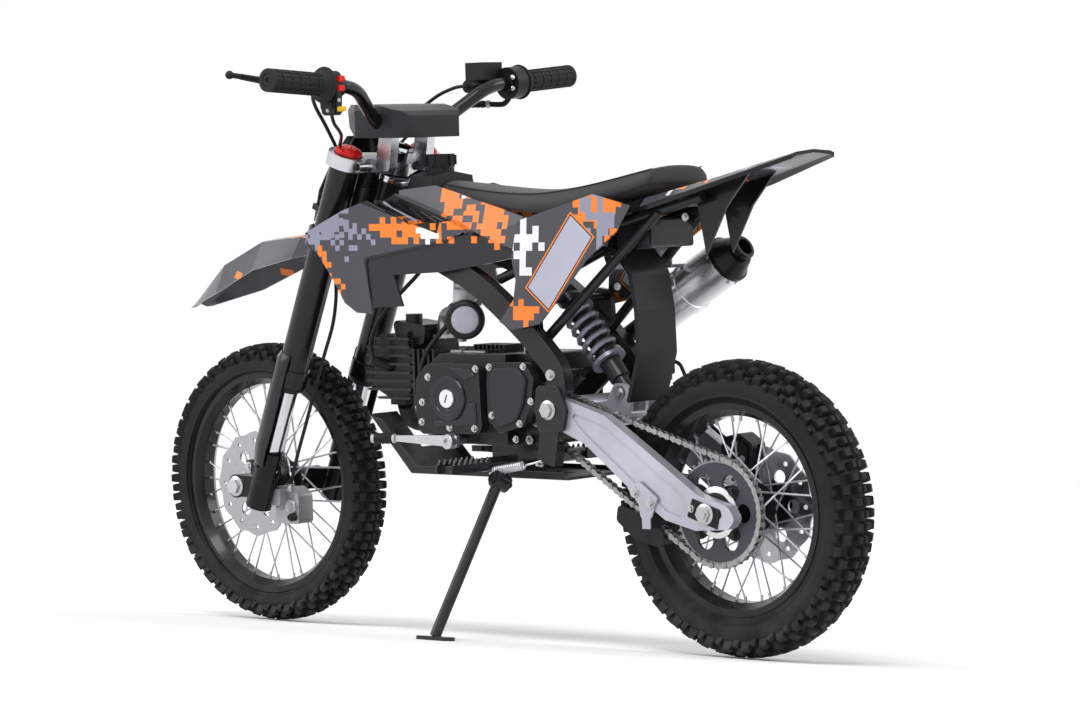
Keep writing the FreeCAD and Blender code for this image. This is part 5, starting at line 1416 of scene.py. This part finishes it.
    def levers(self) -> None:
        """Adds the flat blade of each hand lever."""
        shape = Shape()
        line = [(684, 208, 906), (700, 232, 909), (716, 262, 912), (730, 300, 918), (741, 330, 925)]
        line = smooth_line(line, 4)
        for side in (-1, 1):
            rings = []
            for step, at in enumerate(line):
                wide = 9.0 - 4.0 * step / (len(line) - 1)
                corners = [
                    (-wide, -3), (-wide + 2, -4.6), (wide - 2, -4.6), (wide, -3), (wide, 3), (wide - 2, 4.6)
                ]
                corners += [(-wide + 2, 4.6), (-wide, 3)]
                rings.append([(at.x + a, side * at.y, at.z + b) for a, b in corners])
            shape.skin(rings)
        shape.piece("lever_blades", Body.STEERING, CONTROL_BLACK)

    def build(self) -> None:
        """Builds all of them."""
        self.guards()
        self.levers()
        self.stem()
        self.pinch_bolts()
        self.legs()
        self.grips()
        self.switches()
        self.cables()


WHITE_PLASTIC = Finish("white_cup", (0.78, 0.78, 0.82), rough=0.32, bump=0.03, tone=0.08, dust=0.03)
FILTER_FOAM = Finish("filter_face", (0.36, 0.36, 0.43), rough=0.6, bump=0.4, scale=1600.0, tone=0.14)
RUBBER_BAND = Finish("filter_rubber", (0.009, 0.009, 0.01), rough=0.42, bump=0.1)
GLOSS_CASE = Finish("case_enamel", (0.02, 0.02, 0.024), rough=0.3, coat=0.3, bump=0.16, scale=420.0, wear=0.2)
POLISHED = Finish(
    "polished_cap", (0.78, 0.78, 0.82), rough=0.2, metal=0.8, texture=Texture.BRUSHED,
    stretch=(50.0, 4.0, 50.0), bump=0.04, tone=0.08, dust=0.02,
)


@dataclass
class Engine:
    """The raised covers, caps, fittings and bolts of the engine."""

    left: float = 100.0
    sprocket_left: float = 97.0
    right: float = -100.0
    flywheel: Vector = Vector((526.0, 0.0, 399.0))

    def covers(self) -> None:
        """Raises the pressed fields of the covers."""
        sprocket = [
            (427, 449), (374, 451), (357, 432), (365, 393), (380, 367), (413, 355), (429, 372), (434, 424)
        ]
        lower = [(484, 392), (466, 394), (464, 358), (556, 352), (560, 362), (500, 366)]
        shape = Shape().prism(sprocket, self.sprocket_left - 1, self.sprocket_left + 5)
        shape.prism([(524, 450), (474, 447), (466, 436), (486, 430)], self.left - 1, self.left + 3.4)
        shape.prism(lower, self.left - 1, self.left + 3.0)
        rim = [(-1, 37.5), (2.4, 37.5), (4.4, 35.5), (4.4, 27.0), (3.2, 25.6), (3.2, 18.0), (2.6, 17.0)]
        whole = Shape(shape.mesh(bevel=2.6, segments=3, angle=25.0))
        whole.turned(self.flywheel + Vector((0, self.left, 0)), LEFTWARD, rim, 48)
        whole.piece("engine_cover_fields", Body.CHASSIS, GLOSS_CASE, smooth=35.0)

    def cap(self) -> None:
        """Adds the slotted inspection cap."""
        at = self.flywheel + Vector((0, self.left + 2.4, 0))
        cap = Shape().turned(at, LEFTWARD, [(0, 15.4), (2.4, 15.4), (3.6, 14.4), (3.8, 11.0)], 36)
        cap.piece("inspection_cap", Body.CHASSIS, POLISHED)
        slot = Shape().prism([(-1.2, -7.0), (-1.2, 7.0), (1.2, 7.0), (1.2, -7.0)], -0.8, 0.35).mesh()
        slot.transform(
            Matrix.Translation(at + Vector((0, 3.8, 0))) @ Matrix.Rotation(math.radians(-22), 4, "Y")
        )
        add_piece("inspection_slot", slot, Body.CHASSIS, BLACK_ZINC)

    def bolts(self) -> None:
        """Sets the cover bolts and the cylinder nuts."""
        clutch = [(424, 366), (416, 408), (434, 456), (526, 458), (552, 420), (538, 354), (476, 342)]
        spots = []
        for side, y, places in (
            (1, self.left, ((569, 433), (583, 392), (585, 360), (524, 352), (470, 352), (464, 448))),
            (1, self.sprocket_left, ((437, 451), (364, 453), (350, 398), (375, 362), (434, 374))),
            (1, 80, ((399, 335), (583, 338))),
            (-1, self.right, clutch),
        ):
            spots += [((x, y, z), (0, side, 0)) for x, z in places]
        add_studs("engine_bolts", Body.CHASSIS, ZINC, Bolt(4.6, 5.0, 6.4), spots)
        spots = mirrored((664, 42, 404), (664, 42, 482)) + mirrored((671, 34, 497))
        add_studs("cylinder_nuts", Body.CHASSIS, BLACK_ZINC, Bolt(5.4, 6.0, 7.4, 6, 2.4), spots)
        add_studs("engine_mounts", Body.CHASSIS, ZINC, Bolt(6.4, 6.0, 9.4), mirrored((302, 103.4, 441)))

    def filter(self) -> None:
        """Adds the air filter's rubber rim and its foam face."""
        rim = [(-14, 31.4), (-4, 31.6), (1.2, 30.4), (3.4, 27.5), (3.4, 22.5), (1.0, 21.0)]
        band = [(-36, 31.2), (-35, 32.2), (-30, 32.2), (-29, 31.2)]
        face = [(0.4, 22.6), (2.4, 22.4), (4.0, 20.0), (4.6, 12.0), (4.8, 2.0)]
        rubber = Shape().turned(FILTER_BACK, FILTER_LINE, rim, 44).turned(FILTER_BACK, FILTER_LINE, band, 44)
        rubber.piece("filter_rim", Body.CHASSIS, RUBBER_BAND)
        Shape().turned(FILTER_BACK, FILTER_LINE, face, 44).piece("filter_foam", Body.CHASSIS, FILTER_FOAM)

    def fittings(self) -> None:
        """Adds the white cup, the cable clamp, the choke arm and the starter's fins."""
        cup = [(-6, 12.0), (6, 14.0), (10, 19.0), (13, 20.0), (26, 19.4), (29, 17.0), (30, 11.0), (40, 9.6)]
        cup.append((42, 7.0))
        white = Shape().turned((537, 42, 545), (-0.12, 0.05, 1.0), cup, 28)
        white.piece("carburettor_cup", Body.CHASSIS, WHITE_PLASTIC)
        arm = [(0, 4.4), (18, 4.4), (19, 6.6), (26, 6.6), (27, 4), (76, 4)]
        shape = Shape().turned((570, 40, 470), (-1, 0, 0), arm, 12)
        shape.turned((560, 26, 500), (0, 0, -1), [(0, 15.0), (6, 15.0), (9, 8.0), (14, 7.4)], 20)
        shape.turned((545, 54, 512), (0.3, 1, 0), [(-12, 5), (4, 5), (5, 7), (8, 7)], 14)
        shape.piece("carburettor_fittings", Body.CHASSIS, CALIPER)
        fins = Shape()
        for x in range(470, 534, 9):
            fins.prism([(x, 469), (x + 4, 469), (x + 4, 482), (x, 482)], -24, 24)
        fins.prism([(466, 464), (548, 464), (540, 474), (474, 474)], -26, 26)
        fins.piece("starter_fins", Body.CHASSIS, ENGINE_BLACK)

    def leads(self) -> None:
        """Lays the breather hose past the cylinder and the plug's lead."""
        hose = [
            (566, 44, 520), (580, 66, 496), (604, 74, 462), (616, 76, 410), (612, 80, 366), (596, 82, 346)
        ]
        lead = [
            (716, 60, 452), (728, 70, 462), (726, 62, 510), (690, 40, 560), (640, 24, 606), (622, 20, 640)
        ]
        leads = Shape().tube(hose, 4.0, 12, 10).tube(lead, 3.4, 12, 10)
        leads.piece("engine_leads", Body.CHASSIS, HOSE_BLACK)
        sleeve = Shape().turned((600, 81.6, 350), (-1, 0.4, -0.9), [(-8, 4.6), (4, 5.0), (6, 4.4)], 14)
        sleeve.piece("hose_sleeve", Body.CHASSIS, RED_PLASTIC)
        cap = Shape().turned(
            (713, 54, 450), (16, 28, 12), [(-2, 7), (4, 8.4), (12, 8.4), (16, 6.4), (22, 5)], 16
        )
        cap.piece("plug_cap", Body.CHASSIS, RUBBER_BAND)

    def build(self) -> None:
        """Builds all of them."""
        self.covers()
        self.cap()
        self.bolts()
        self.filter()
        self.fittings()
        self.leads()


SPRING_ZINC = Finish("spring_zinc", (0.66, 0.66, 0.7), rough=0.25, metal=0.9, bump=0.03, tone=0.12)
LINK_GREY = Finish("strut_grey", (0.36, 0.36, 0.42), rough=0.26, metal=0.2, coat=0.3, bump=0.03)


@dataclass
class Chassis:
    """The fasteners, springs and small plates of the frame and the drive."""

    arm_out: float = 98.0
    spring_turns: int = 15
    spring_radius: float = 6.2
    spring_wire: float = 1.5

    def stand_spring(self) -> None:
        """Hooks the stand's coil spring between the frame and the stand's bracket."""
        front = Vector((420, 112, 287))
        back = Vector((362, 108, 297))
        line = (back - front).normalized()
        first, second = across(line)
        coil = []
        steps = self.spring_turns * 12
        for step in range(steps + 1):
            a = math.tau * self.spring_turns * step / steps
            at = front + (back - front) * (step / steps)
            coil.append(at + (first * math.cos(a) + second * math.sin(a)) * self.spring_radius)
        shape = Shape().tube(coil, self.spring_wire, 8)
        shape.tube([coil[0], front - line * 3, front - line * 12 - Vector((0, 3, 3))], 1.6, 8, 6)
        tail = [coil[-1], back + line * 3, back + line * 24, back + line * 36 - Vector((0, 4, -2))]
        shape.tube(tail, 1.6, 8, 6).piece("stand_spring", Body.CHASSIS, SPRING_ZINC)
        pins = aimed(LEFTWARD, (408, 103, 283), (326, 103, 300))
        add_studs("spring_pins", Body.CHASSIS, ZINC, Bolt(3.2, 12.0, 4.6, 12), pins)

    def axle_blocks(self) -> None:
        """Adds the axle blocks in the arms' ends, the adjusters, the washers and the guide's bolts."""
        face = self.arm_out + 1.6
        outline = [(25, 257), (-31, 241), (-24, 210), (36, 228)]
        blocks = Shape().prism(outline, -face, 2 - self.arm_out).prism(outline, self.arm_out - 2, face)
        blocks.piece("axle_blocks", Body.CHASSIS, BLACK_ZINC, bevel=1.4)
        add_studs("chain_adjusters", Body.CHASSIS, ZINC, Bolt(5.0, 5.0, 6.4), mirrored((26, face, 241)))
        washers = Shape()
        for side in (-1, 1):
            at = REAR_AXLE + Vector((0, side * (self.arm_out + 1.2), 0))
            washers.turned(at, (0, side, 0), [(0, 16.4), (1.4, 16.6), (2.2, 15.6)], 28)
            washers.turned((306, side * 107.2, 386), (0, side, 0), [(0, 15.4), (1.6, 15.6), (2.4, 14.6)], 28)
        washers.piece("axle_washers", Body.CHASSIS, ZINC)
        guide = self.arm_out + 3.3
        spots = aimed(LEFTWARD, (137, guide, 262), (106, guide, 246))
        add_studs("guide_bolts", Body.CHASSIS, ZINC, Bolt(6.2, 6.0, 9.0), spots)

    def carrier(self) -> None:
        """Adds the sprocket's carrier: a bright ring, a dark boss and four bolted lobes."""
        face = Vector((REAR_AXLE.x, 68.4, REAR_AXLE.z))
        ring = Shape().turned(face, LEFTWARD, [(0, 40.0), (2.6, 40.0), (3.4, 39.0), (3.4, 22.0)], 44)
        ring.piece("carrier_ring", Body.REAR_WHEEL, POLISHED)
        boss = [(0, 31.0), (4.6, 31.0), (6.0, 28.0), (6.0, 24.0), (8.6, 22.0), (8.6, 15.0), (7.4, 14.0)]
        lobe = ((34, -13), (50, -9), (56, -5), (56, 5), (50, 9), (34, 13))
        shape = Shape().turned(face, LEFTWARD, boss, 40)
        spots = []
        for number in range(4):
            turn = math.radians(45 + 90 * number)
            out = Vector((math.cos(turn), 0, math.sin(turn)))
            side = Vector((-math.sin(turn), 0, math.cos(turn)))
            outline = [out * r + side * s for r, s in lobe]
            shape.prism([(face.x + p.x, face.z + p.z) for p in outline], 67.6, 70.6)
            spots.append((Vector((face.x, 70.6, face.z)) + out * 47, LEFTWARD))
        shape.piece("carrier_lobes", Body.REAR_WHEEL, MOULDED_BLACK)
        add_studs("sprocket_bolts", Body.REAR_WHEEL, BLACK_ZINC, Bolt(6.4, 6.5, 8.4, 6, 3.0), spots)

    def bolts(self) -> None:
        """Sets the frame's remaining bolts, and adds the gear lever's boss and ribbed rubber."""
        add_studs("shock_bolts", Body.CHASSIS, ZINC, Bolt(8.0, 7.0, 11.0), mirrored((229, 23.4, 410)))
        spots = mirrored((388, 60.0, 333), (352, 60.0, 316))
        add_studs("peg_bolts", Body.CHASSIS, ZINC, Bolt(5.4, 5.0, 8.0), spots)
        boss = Shape().turned(
            (512, 106, 331), LEFTWARD, [(0, 12.0), (16, 12.0), (17, 11), (17, 5.6), (13, 5.4)]
        )
        boss.piece("gear_lever_boss", Body.CHASSIS, LEVER_SILVER)
        sleeve = [
            (4, 8.0), (5, 9.2), (9, 8.6), (13, 9.2), (17, 8.6), (21, 9.2), (25, 8.6), (29, 9.2), (35, 9.2)
        ]
        rubber = Shape().turned((640, 107, 332), (38, 15, 0), sleeve, 20)
        rubber.piece("gear_lever_rubber", Body.CHASSIS, RUBBER_BAND)
        spots = mirrored((207, 46.0, 578)) + mirrored((76, 34.0, 685))
        add_studs("mudguard_bolts", Body.CHASSIS, ZINC, Bolt(4.4, 4.0, 6.6), spots)

    def build(self) -> None:
        """Builds all of them."""
        self.stand_spring()
        self.axle_blocks()
        self.carrier()
        self.bolts()


@dataclass
class Brakes:
    """The pins, bolts and bracket of the two brakes."""

    def front(self) -> None:
        """Adds the fork foot's bracket, the caliper's pistons and pins, and the hose's banjo."""
        outline = [
            (1010, 283), (985, 286), (930, 280), (928, 258), (948, 246), (956, 218), (978, 214), (986, 246)
        ]
        bracket = Shape().prism(outline, 83.5, 90.5)
        bracket.piece("fork_foot_bracket", Body.STEERING, FORK_BLACK, bevel=1.6)
        spots = aimed(LEFTWARD, (1000, 90.5, 274), (940, 90.5, 268), (968, 90.5, 226))
        add_studs("fork_foot_bolts", Body.STEERING, ZINC, Bolt(5.4, 5.0, 7.6), spots)
        pistons = Shape()
        for x, z, r in ((926, 205, 13.0), (950, 212, 10.5)):
            pistons.turned(
                (x, 66, z), LEFTWARD, [(-1, r), (4, r), (5.4, r - 1.4), (5.4, r - 4), (4.2, r - 5)], 28
            )
        pin = [(0, 6.0), (44, 6.0), (45, 7.6), (52, 7.6), (54, 5)]
        pistons.turned((968, 72, 232), (-1, 0, 0.1), pin, 18)
        pistons.piece("caliper_pistons", Body.STEERING, CALIPER, bevel=0.4, segments=1)
        banjo = Shape().turned((933, 60, 237), (0, 0, 1), [(0, 6), (1, 8), (7, 8), (8, 5), (13, 5)], 18)
        banjo.turned((921, 66, 188), LEFTWARD, [(0, 8), (6, 8), (7, 6), (11, 5.6)], 6)
        banjo.piece("front_banjo", Body.STEERING, BLACK_ZINC)
        washers = Shape()
        for side in (-1, 1):
            at = FRONT_AXLE + Vector((0, side * 98.0, 0))
            washers.turned(at, (0, side, 0), [(0, 17.0), (1.8, 17.2), (2.6, 16.0)], 28)
        washers.piece("front_axle_washers", Body.STEERING, ZINC)

    def rear(self) -> None:
        """Adds the rear master cylinder and the rear caliper's cover plate and pins."""
        foot, up = (240, -112, 436), (0, 0, 1)
        cylinder = [(0, 6), (1, 9), (10, 9), (11, 7.6), (24, 7.6), (25, 9.4), (42, 9.4)]
        Shape().turned(foot, up, cylinder).piece("rear_master_cylinder", Body.CHASSIS, CALIPER)
        bracket = Shape().turned(foot, up, [(42, 11), (43, 11.6), (48, 11.6), (50, 10)], 12)
        bracket.prism([(286, 430), (236, 440), (236, 466), (250, 468), (290, 452)], -106.5, -102.8)
        bracket.piece("rear_master_bracket", Body.CHASSIS, FRAME_BLACK)
        lid = Shape().prism([(22, 296), (20, 326), (41, 340), (70, 333), (73, 298)], -38.6, -35.0)
        lid.piece("rear_caliper_lid", Body.CHASSIS, CONTROL_BLACK, bevel=2.0)
        spots = aimed(LEFTWARD, (32, -35.2, 306), (62, -35.2, 306), (46, -35.2, 330))
        add_studs("rear_caliper_pins", Body.CHASSIS, CALIPER, Bolt(4.2, 4.0, 6.0, 12, 2.0), spots)
        spots = aimed((0, -1, 0), (30, -74.0, 302), (62, -74.0, 302), (46, -74.0, 332))
        add_studs("rear_caliper_bolts", Body.CHASSIS, ZINC, Bolt(4.8, 4.0, 6.6), spots)


@dataclass
class Bodyparts:
    """What the bodywork and the silencer carry."""

    def silencer(self) -> None:
        """Adds the silencer's strap, rivets and rolled lips."""
        tip = SILENCER.centre
        strap = Shape().turned(tip, SILENCER_LINE, [(95, 39.2), (95.6, 40.2), (112.4, 40.2), (113, 39.2)], 48)
        strap.piece("silencer_strap", Body.CHASSIS, POLISHED)
        first, second = across(SILENCER_LINE)
        spots = []
        for along in (27.0, 189.0):
            for out in circle(Vector(), first, second, 1.0, 12):
                spots.append((tip + SILENCER_LINE * along + out * 37.0, out))
        add_studs("silencer_rivets", Body.CHASSIS, ZINC, Bolt(2.6, 2.2, 3.2, 12), spots)
        lip = [(18, 30.0), (19, 38.0), (22, 38.2), (23, 37.2)]
        rim = [(232, 18.8), (238, 20.2), (240.6, 19.0), (241, 15.0), (240, 13.8), (230, 13.8)]
        lips = Shape().turned(tip, SILENCER_LINE, lip, 48).turned(tip, SILENCER_LINE, rim, 32, hollow=True)
        lips.piece("silencer_lips", Body.CHASSIS, SILENCER)

    def struts(self) -> None:
        """Sets the grey bar and the dark ribs in the recess of each shroud."""
        bars, ribs = Shape(), Shape()
        for side in (-1, 1):
            bars.tube([(658, side * 97, 716), (640, side * 98, 706), (588, side * 93, 684)], 2.4, 8)
            for x in (608, 582, 556):
                top = (x, side * 89.4, 716 - (640 - x) * 0.28)
                ribs.tube([top, (x - 34, side * 89.4, 688 - (640 - x) * 0.1)], 2.0, 6)
        bars.piece("recess_bars", Body.CHASSIS, LINK_GREY)
        ribs.piece("recess_ribs", Body.CHASSIS, GLOSS_BLACK)

    def battery(self) -> None:
        """Adds the battery's faces and its strap."""
        faces = Shape().prism([(199, 668), (180, 672), (137, 673), (133, 642), (197, 640)], -51.6, 51.6)
        faces.piece("battery_faces", Body.CHASSIS, GLOSS_CASE, bevel=2.0)
        strap = Shape().prism([(171, 674), (159, 674), (159, 636), (171, 636)], -53.0, 53.0)
        strap.piece("battery_strap", Body.CHASSIS, RUBBER_BAND)


SEAT_VINYL = Finish(
    "seat_vinyl", (0.02, 0.02, 0.022), rough=0.5, sheen=0.15, texture=Texture.LEATHER, scale=1500.0,
    bump=0.22, tone=0.18, dust=0.05,
)
SEAM_THREAD = Finish("seam_thread", (0.035, 0.035, 0.038), rough=0.7, bump=0.3, scale=2500.0, dust=0.0)


@dataclass
class Seat:
    """The seat: a crowned pad under a tight cover, sewn along both upper edges."""

    rows: tuple = (
        # x, lower half width, lower height, upper half width, upper height
        (590.4, 33.0, 732.6, 25.0, 748.6),
        (582.0, 37.0, 729.0, 30.0, 748.0),
        (534.0, 57.0, 714.6, 46.0, 743.0),
        (470.0, 69.0, 706.0, 53.0, 736.0),
        (404.0, 77.0, 698.6, 58.0, 731.0),
        (350.0, 81.0, 695.0, 62.0, 731.0),
        (300.0, 83.0, 692.6, 66.0, 735.0),
        (250.0, 83.4, 702.6, 67.5, 741.5),
        (200.0, 83.0, 712.6, 68.0, 750.0),
        (150.0, 79.0, 726.0, 64.0, 760.0),
        (118.0, 75.0, 734.6, 60.0, 766.6),
        (111.5, 71.0, 738.0, 56.0, 765.0),
    )

    def section(self, x: float, w: float, z: float, top_w: float, h: float) -> list[Vector]:
        """Gives one closed section of the pad, from the middle of its base round the left side first.

        Args:
            x: Where it lies, ahead of the rear axle.
            w: Half the width at the base.
            z: The height of the base.
            top_w: Half the width at the top.
            h: The height of the top.

        Returns:
            The points of the section.
        """
        rise = h - z
        half = [
            (0.0, z), (w * 0.7, z), (w * 0.97, z + 0.6), (w, z + rise * 0.12), (w * 0.985, z + rise * 0.42),
            (top_w + (w - top_w) * 0.34, z + rise * 0.68), (top_w + 1.2, h - 7.2), (top_w - 1.5, h - 5.2),
            (top_w * 0.8, h - 3.0), (top_w * 0.45, h - 0.8), (0.0, h),
        ]
        left = [Vector((x, y, height)) for y, height in half]
        right = [Vector((x, -y, height)) for y, height in reversed(half[1:-1])]
        return left + right

    def seam(self, side: int) -> list[Vector]:
        """Gives the line of the sewn edge on one side."""
        return [Vector((x, side * (top + 0.2), h - 5.4)) for x, _, _, top, h in self.rows[1:-1]]

    def build(self) -> None:
        """Builds the pad, its piping and its stitches."""
        pad = Shape().skin([self.section(*row) for row in self.rows])
        piece = pad.piece("seat_pad", Body.CHASSIS, SEAT_VINYL, smooth=60.0)
        modifier = piece.modifiers.new("round", "SUBSURF")
        modifier.levels = 2
        modifier.render_levels = 2
        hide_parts("seat")
        seams = Shape().tube(self.seam(-1), 1.1, 6, 10).tube(self.seam(1), 1.1, 6, 10)
        seams.piece("seat_seams", Body.CHASSIS, SEAM_THREAD)


@dataclass
class Studio:
    """The floor, the lamps, the world and the camera."""

    azimuth: float = math.radians(48.3739)
    elevation: float = math.radians(3.2422)
    roll: float = math.radians(-1.7070)
    distance: float = 5312.54
    target: tuple[float, float, float] = (-331.693, 840.030, 520.329)
    focal_pixels: float = 4000.0
    picture_width: float = 1080.0
    sensor: float = 36.0
    floor_size: float = 400.0
    lamps: tuple = (
        # name, where it shines from, strength, softness in degrees
        ("key", (-2.0, 4.0, 4.6), 1.7, 28.0),
        ("fill", (3.2, 3.0, 2.4), 0.9, 40.0),
        ("rear", (-3.4, -2.6, 2.8), 0.8, 30.0),
    )

    def camera(self) -> None:
        """Sets the camera at the photograph's viewing angle."""
        level = math.cos(self.elevation)
        back = Vector(
            (-math.cos(self.azimuth) * level, math.sin(self.azimuth) * level, math.sin(self.elevation))
        )
        right = (-back).cross(Vector((0, 0, 1))).normalized()
        up = right.cross(-back)
        turned_right = right * math.cos(self.roll) + up * math.sin(self.roll)
        turned_up = up * math.cos(self.roll) - right * math.sin(self.roll)
        place_matrix = Matrix((turned_right, turned_up, back)).transposed().to_4x4()
        place_matrix.translation = (Vector(self.target) + back * self.distance) * MM
        data = bpy.data.cameras.new("camera")
        data.sensor_width = self.sensor
        data.lens = self.focal_pixels / self.picture_width * self.sensor
        data.clip_end = 1000.0
        camera = add_object("camera", data)
        camera.matrix_world = PARK @ place_matrix
        bpy.context.scene.camera = camera

    def light(self) -> None:
        """Adds the soft lamps, which light the floor evenly."""
        for name, where, strength, softness in self.lamps:
            data = bpy.data.lights.new(name, "SUN")
            data.energy = strength
            data.angle = math.radians(softness)
            lamp = add_object(name, data)
            lamp.location = where
            lamp.rotation_euler = (-Vector(where)).to_track_quat("-Z", "Y").to_euler()

    def world(self) -> None:
        """Gives a soft light, and white to what the camera, metal and glass see."""
        world = bpy.data.worlds.new("studio")
        bpy.context.scene.world = world
        world.use_nodes = True
        world.node_tree.nodes.clear()
        g = Graph(world.node_tree)
        soft = g.add("ShaderNodeBackground", {"Color": (1, 1, 1, 1), "Strength": 0.55}).outputs[0]
        white = g.add("ShaderNodeBackground", {"Color": (1, 1, 1, 1), "Strength": 1.0}).outputs[0]
        path = g.add("ShaderNodeLightPath").outputs
        seen = g.math("MAXIMUM", path["Is Camera Ray"], path["Is Transmission Ray"])
        seen = g.math("MAXIMUM", seen, path["Is Glossy Ray"])
        mixed = g.add("ShaderNodeMixShader", {0: seen, 1: soft, 2: white}).outputs[0]
        g.add("ShaderNodeOutputWorld", {"Surface": mixed})

    def floor(self) -> None:
        """Lays the pale floor at the lowest point of the machine."""
        mesh = bpy.data.meshes.new("floor")
        half = self.floor_size / 2
        corners = [(-half, -half, 0), (half, -half, 0), (half, half, 0), (-half, half, 0)]
        mesh.from_pydata(corners, [], [(0, 1, 2, 3)])
        floor = add_object("floor", mesh)
        material = bpy.data.materials.new("pale_floor")
        material.use_nodes = True
        shader = material.node_tree.nodes["Principled BSDF"]
        shader.inputs["Base Color"].default_value = (0.97, 0.97, 0.97, 1)
        shader.inputs["Roughness"].default_value = 0.9
        shader.inputs["Specular IOR Level"].default_value = 0.1
        mesh.materials.append(material)

    def build(self) -> None:
        """Sets up the whole studio."""
        bpy.context.scene.view_settings.view_transform = "Standard"
        self.camera()
        self.light()
        self.world()
        self.floor()


def main() -> None:
    """Builds every class in order."""
    logging.basicConfig(level=logging.INFO, format="%(message)s")
    Studio().build()
    for build in (build_surfaces, build_places, build_ring, build_studs, build_links):
        build()
    dress_nodes()
    Tyre("rear_tyre_knobbly", Body.REAR_WHEEL, REAR_AXLE, 165.0, 231.35, 35.0, 40.0, 27.0, 37).build()
    Tyre("front_tyre_knobbly", Body.FRONT_WHEEL, FRONT_AXLE, 188.5, 237.65, 29.0, 33.0, 22.0, 42).build()
    Wheel("rear", Body.REAR_WHEEL, REAR_AXLE, 165.0, -57.8, -1.0).build()
    Wheel("front", Body.FRONT_WHEEL, FRONT_AXLE, 188.5, 51.8, 1.0).build()
    Chain().build()
    Seat().build()
    Steering().build()
    Engine().build()
    Chassis().build()
    brakes = Brakes()
    brakes.front()
    brakes.rear()
    parts = Bodyparts()
    parts.silencer()
    parts.struts()
    parts.battery()


if __name__ == "__main__":
    main()
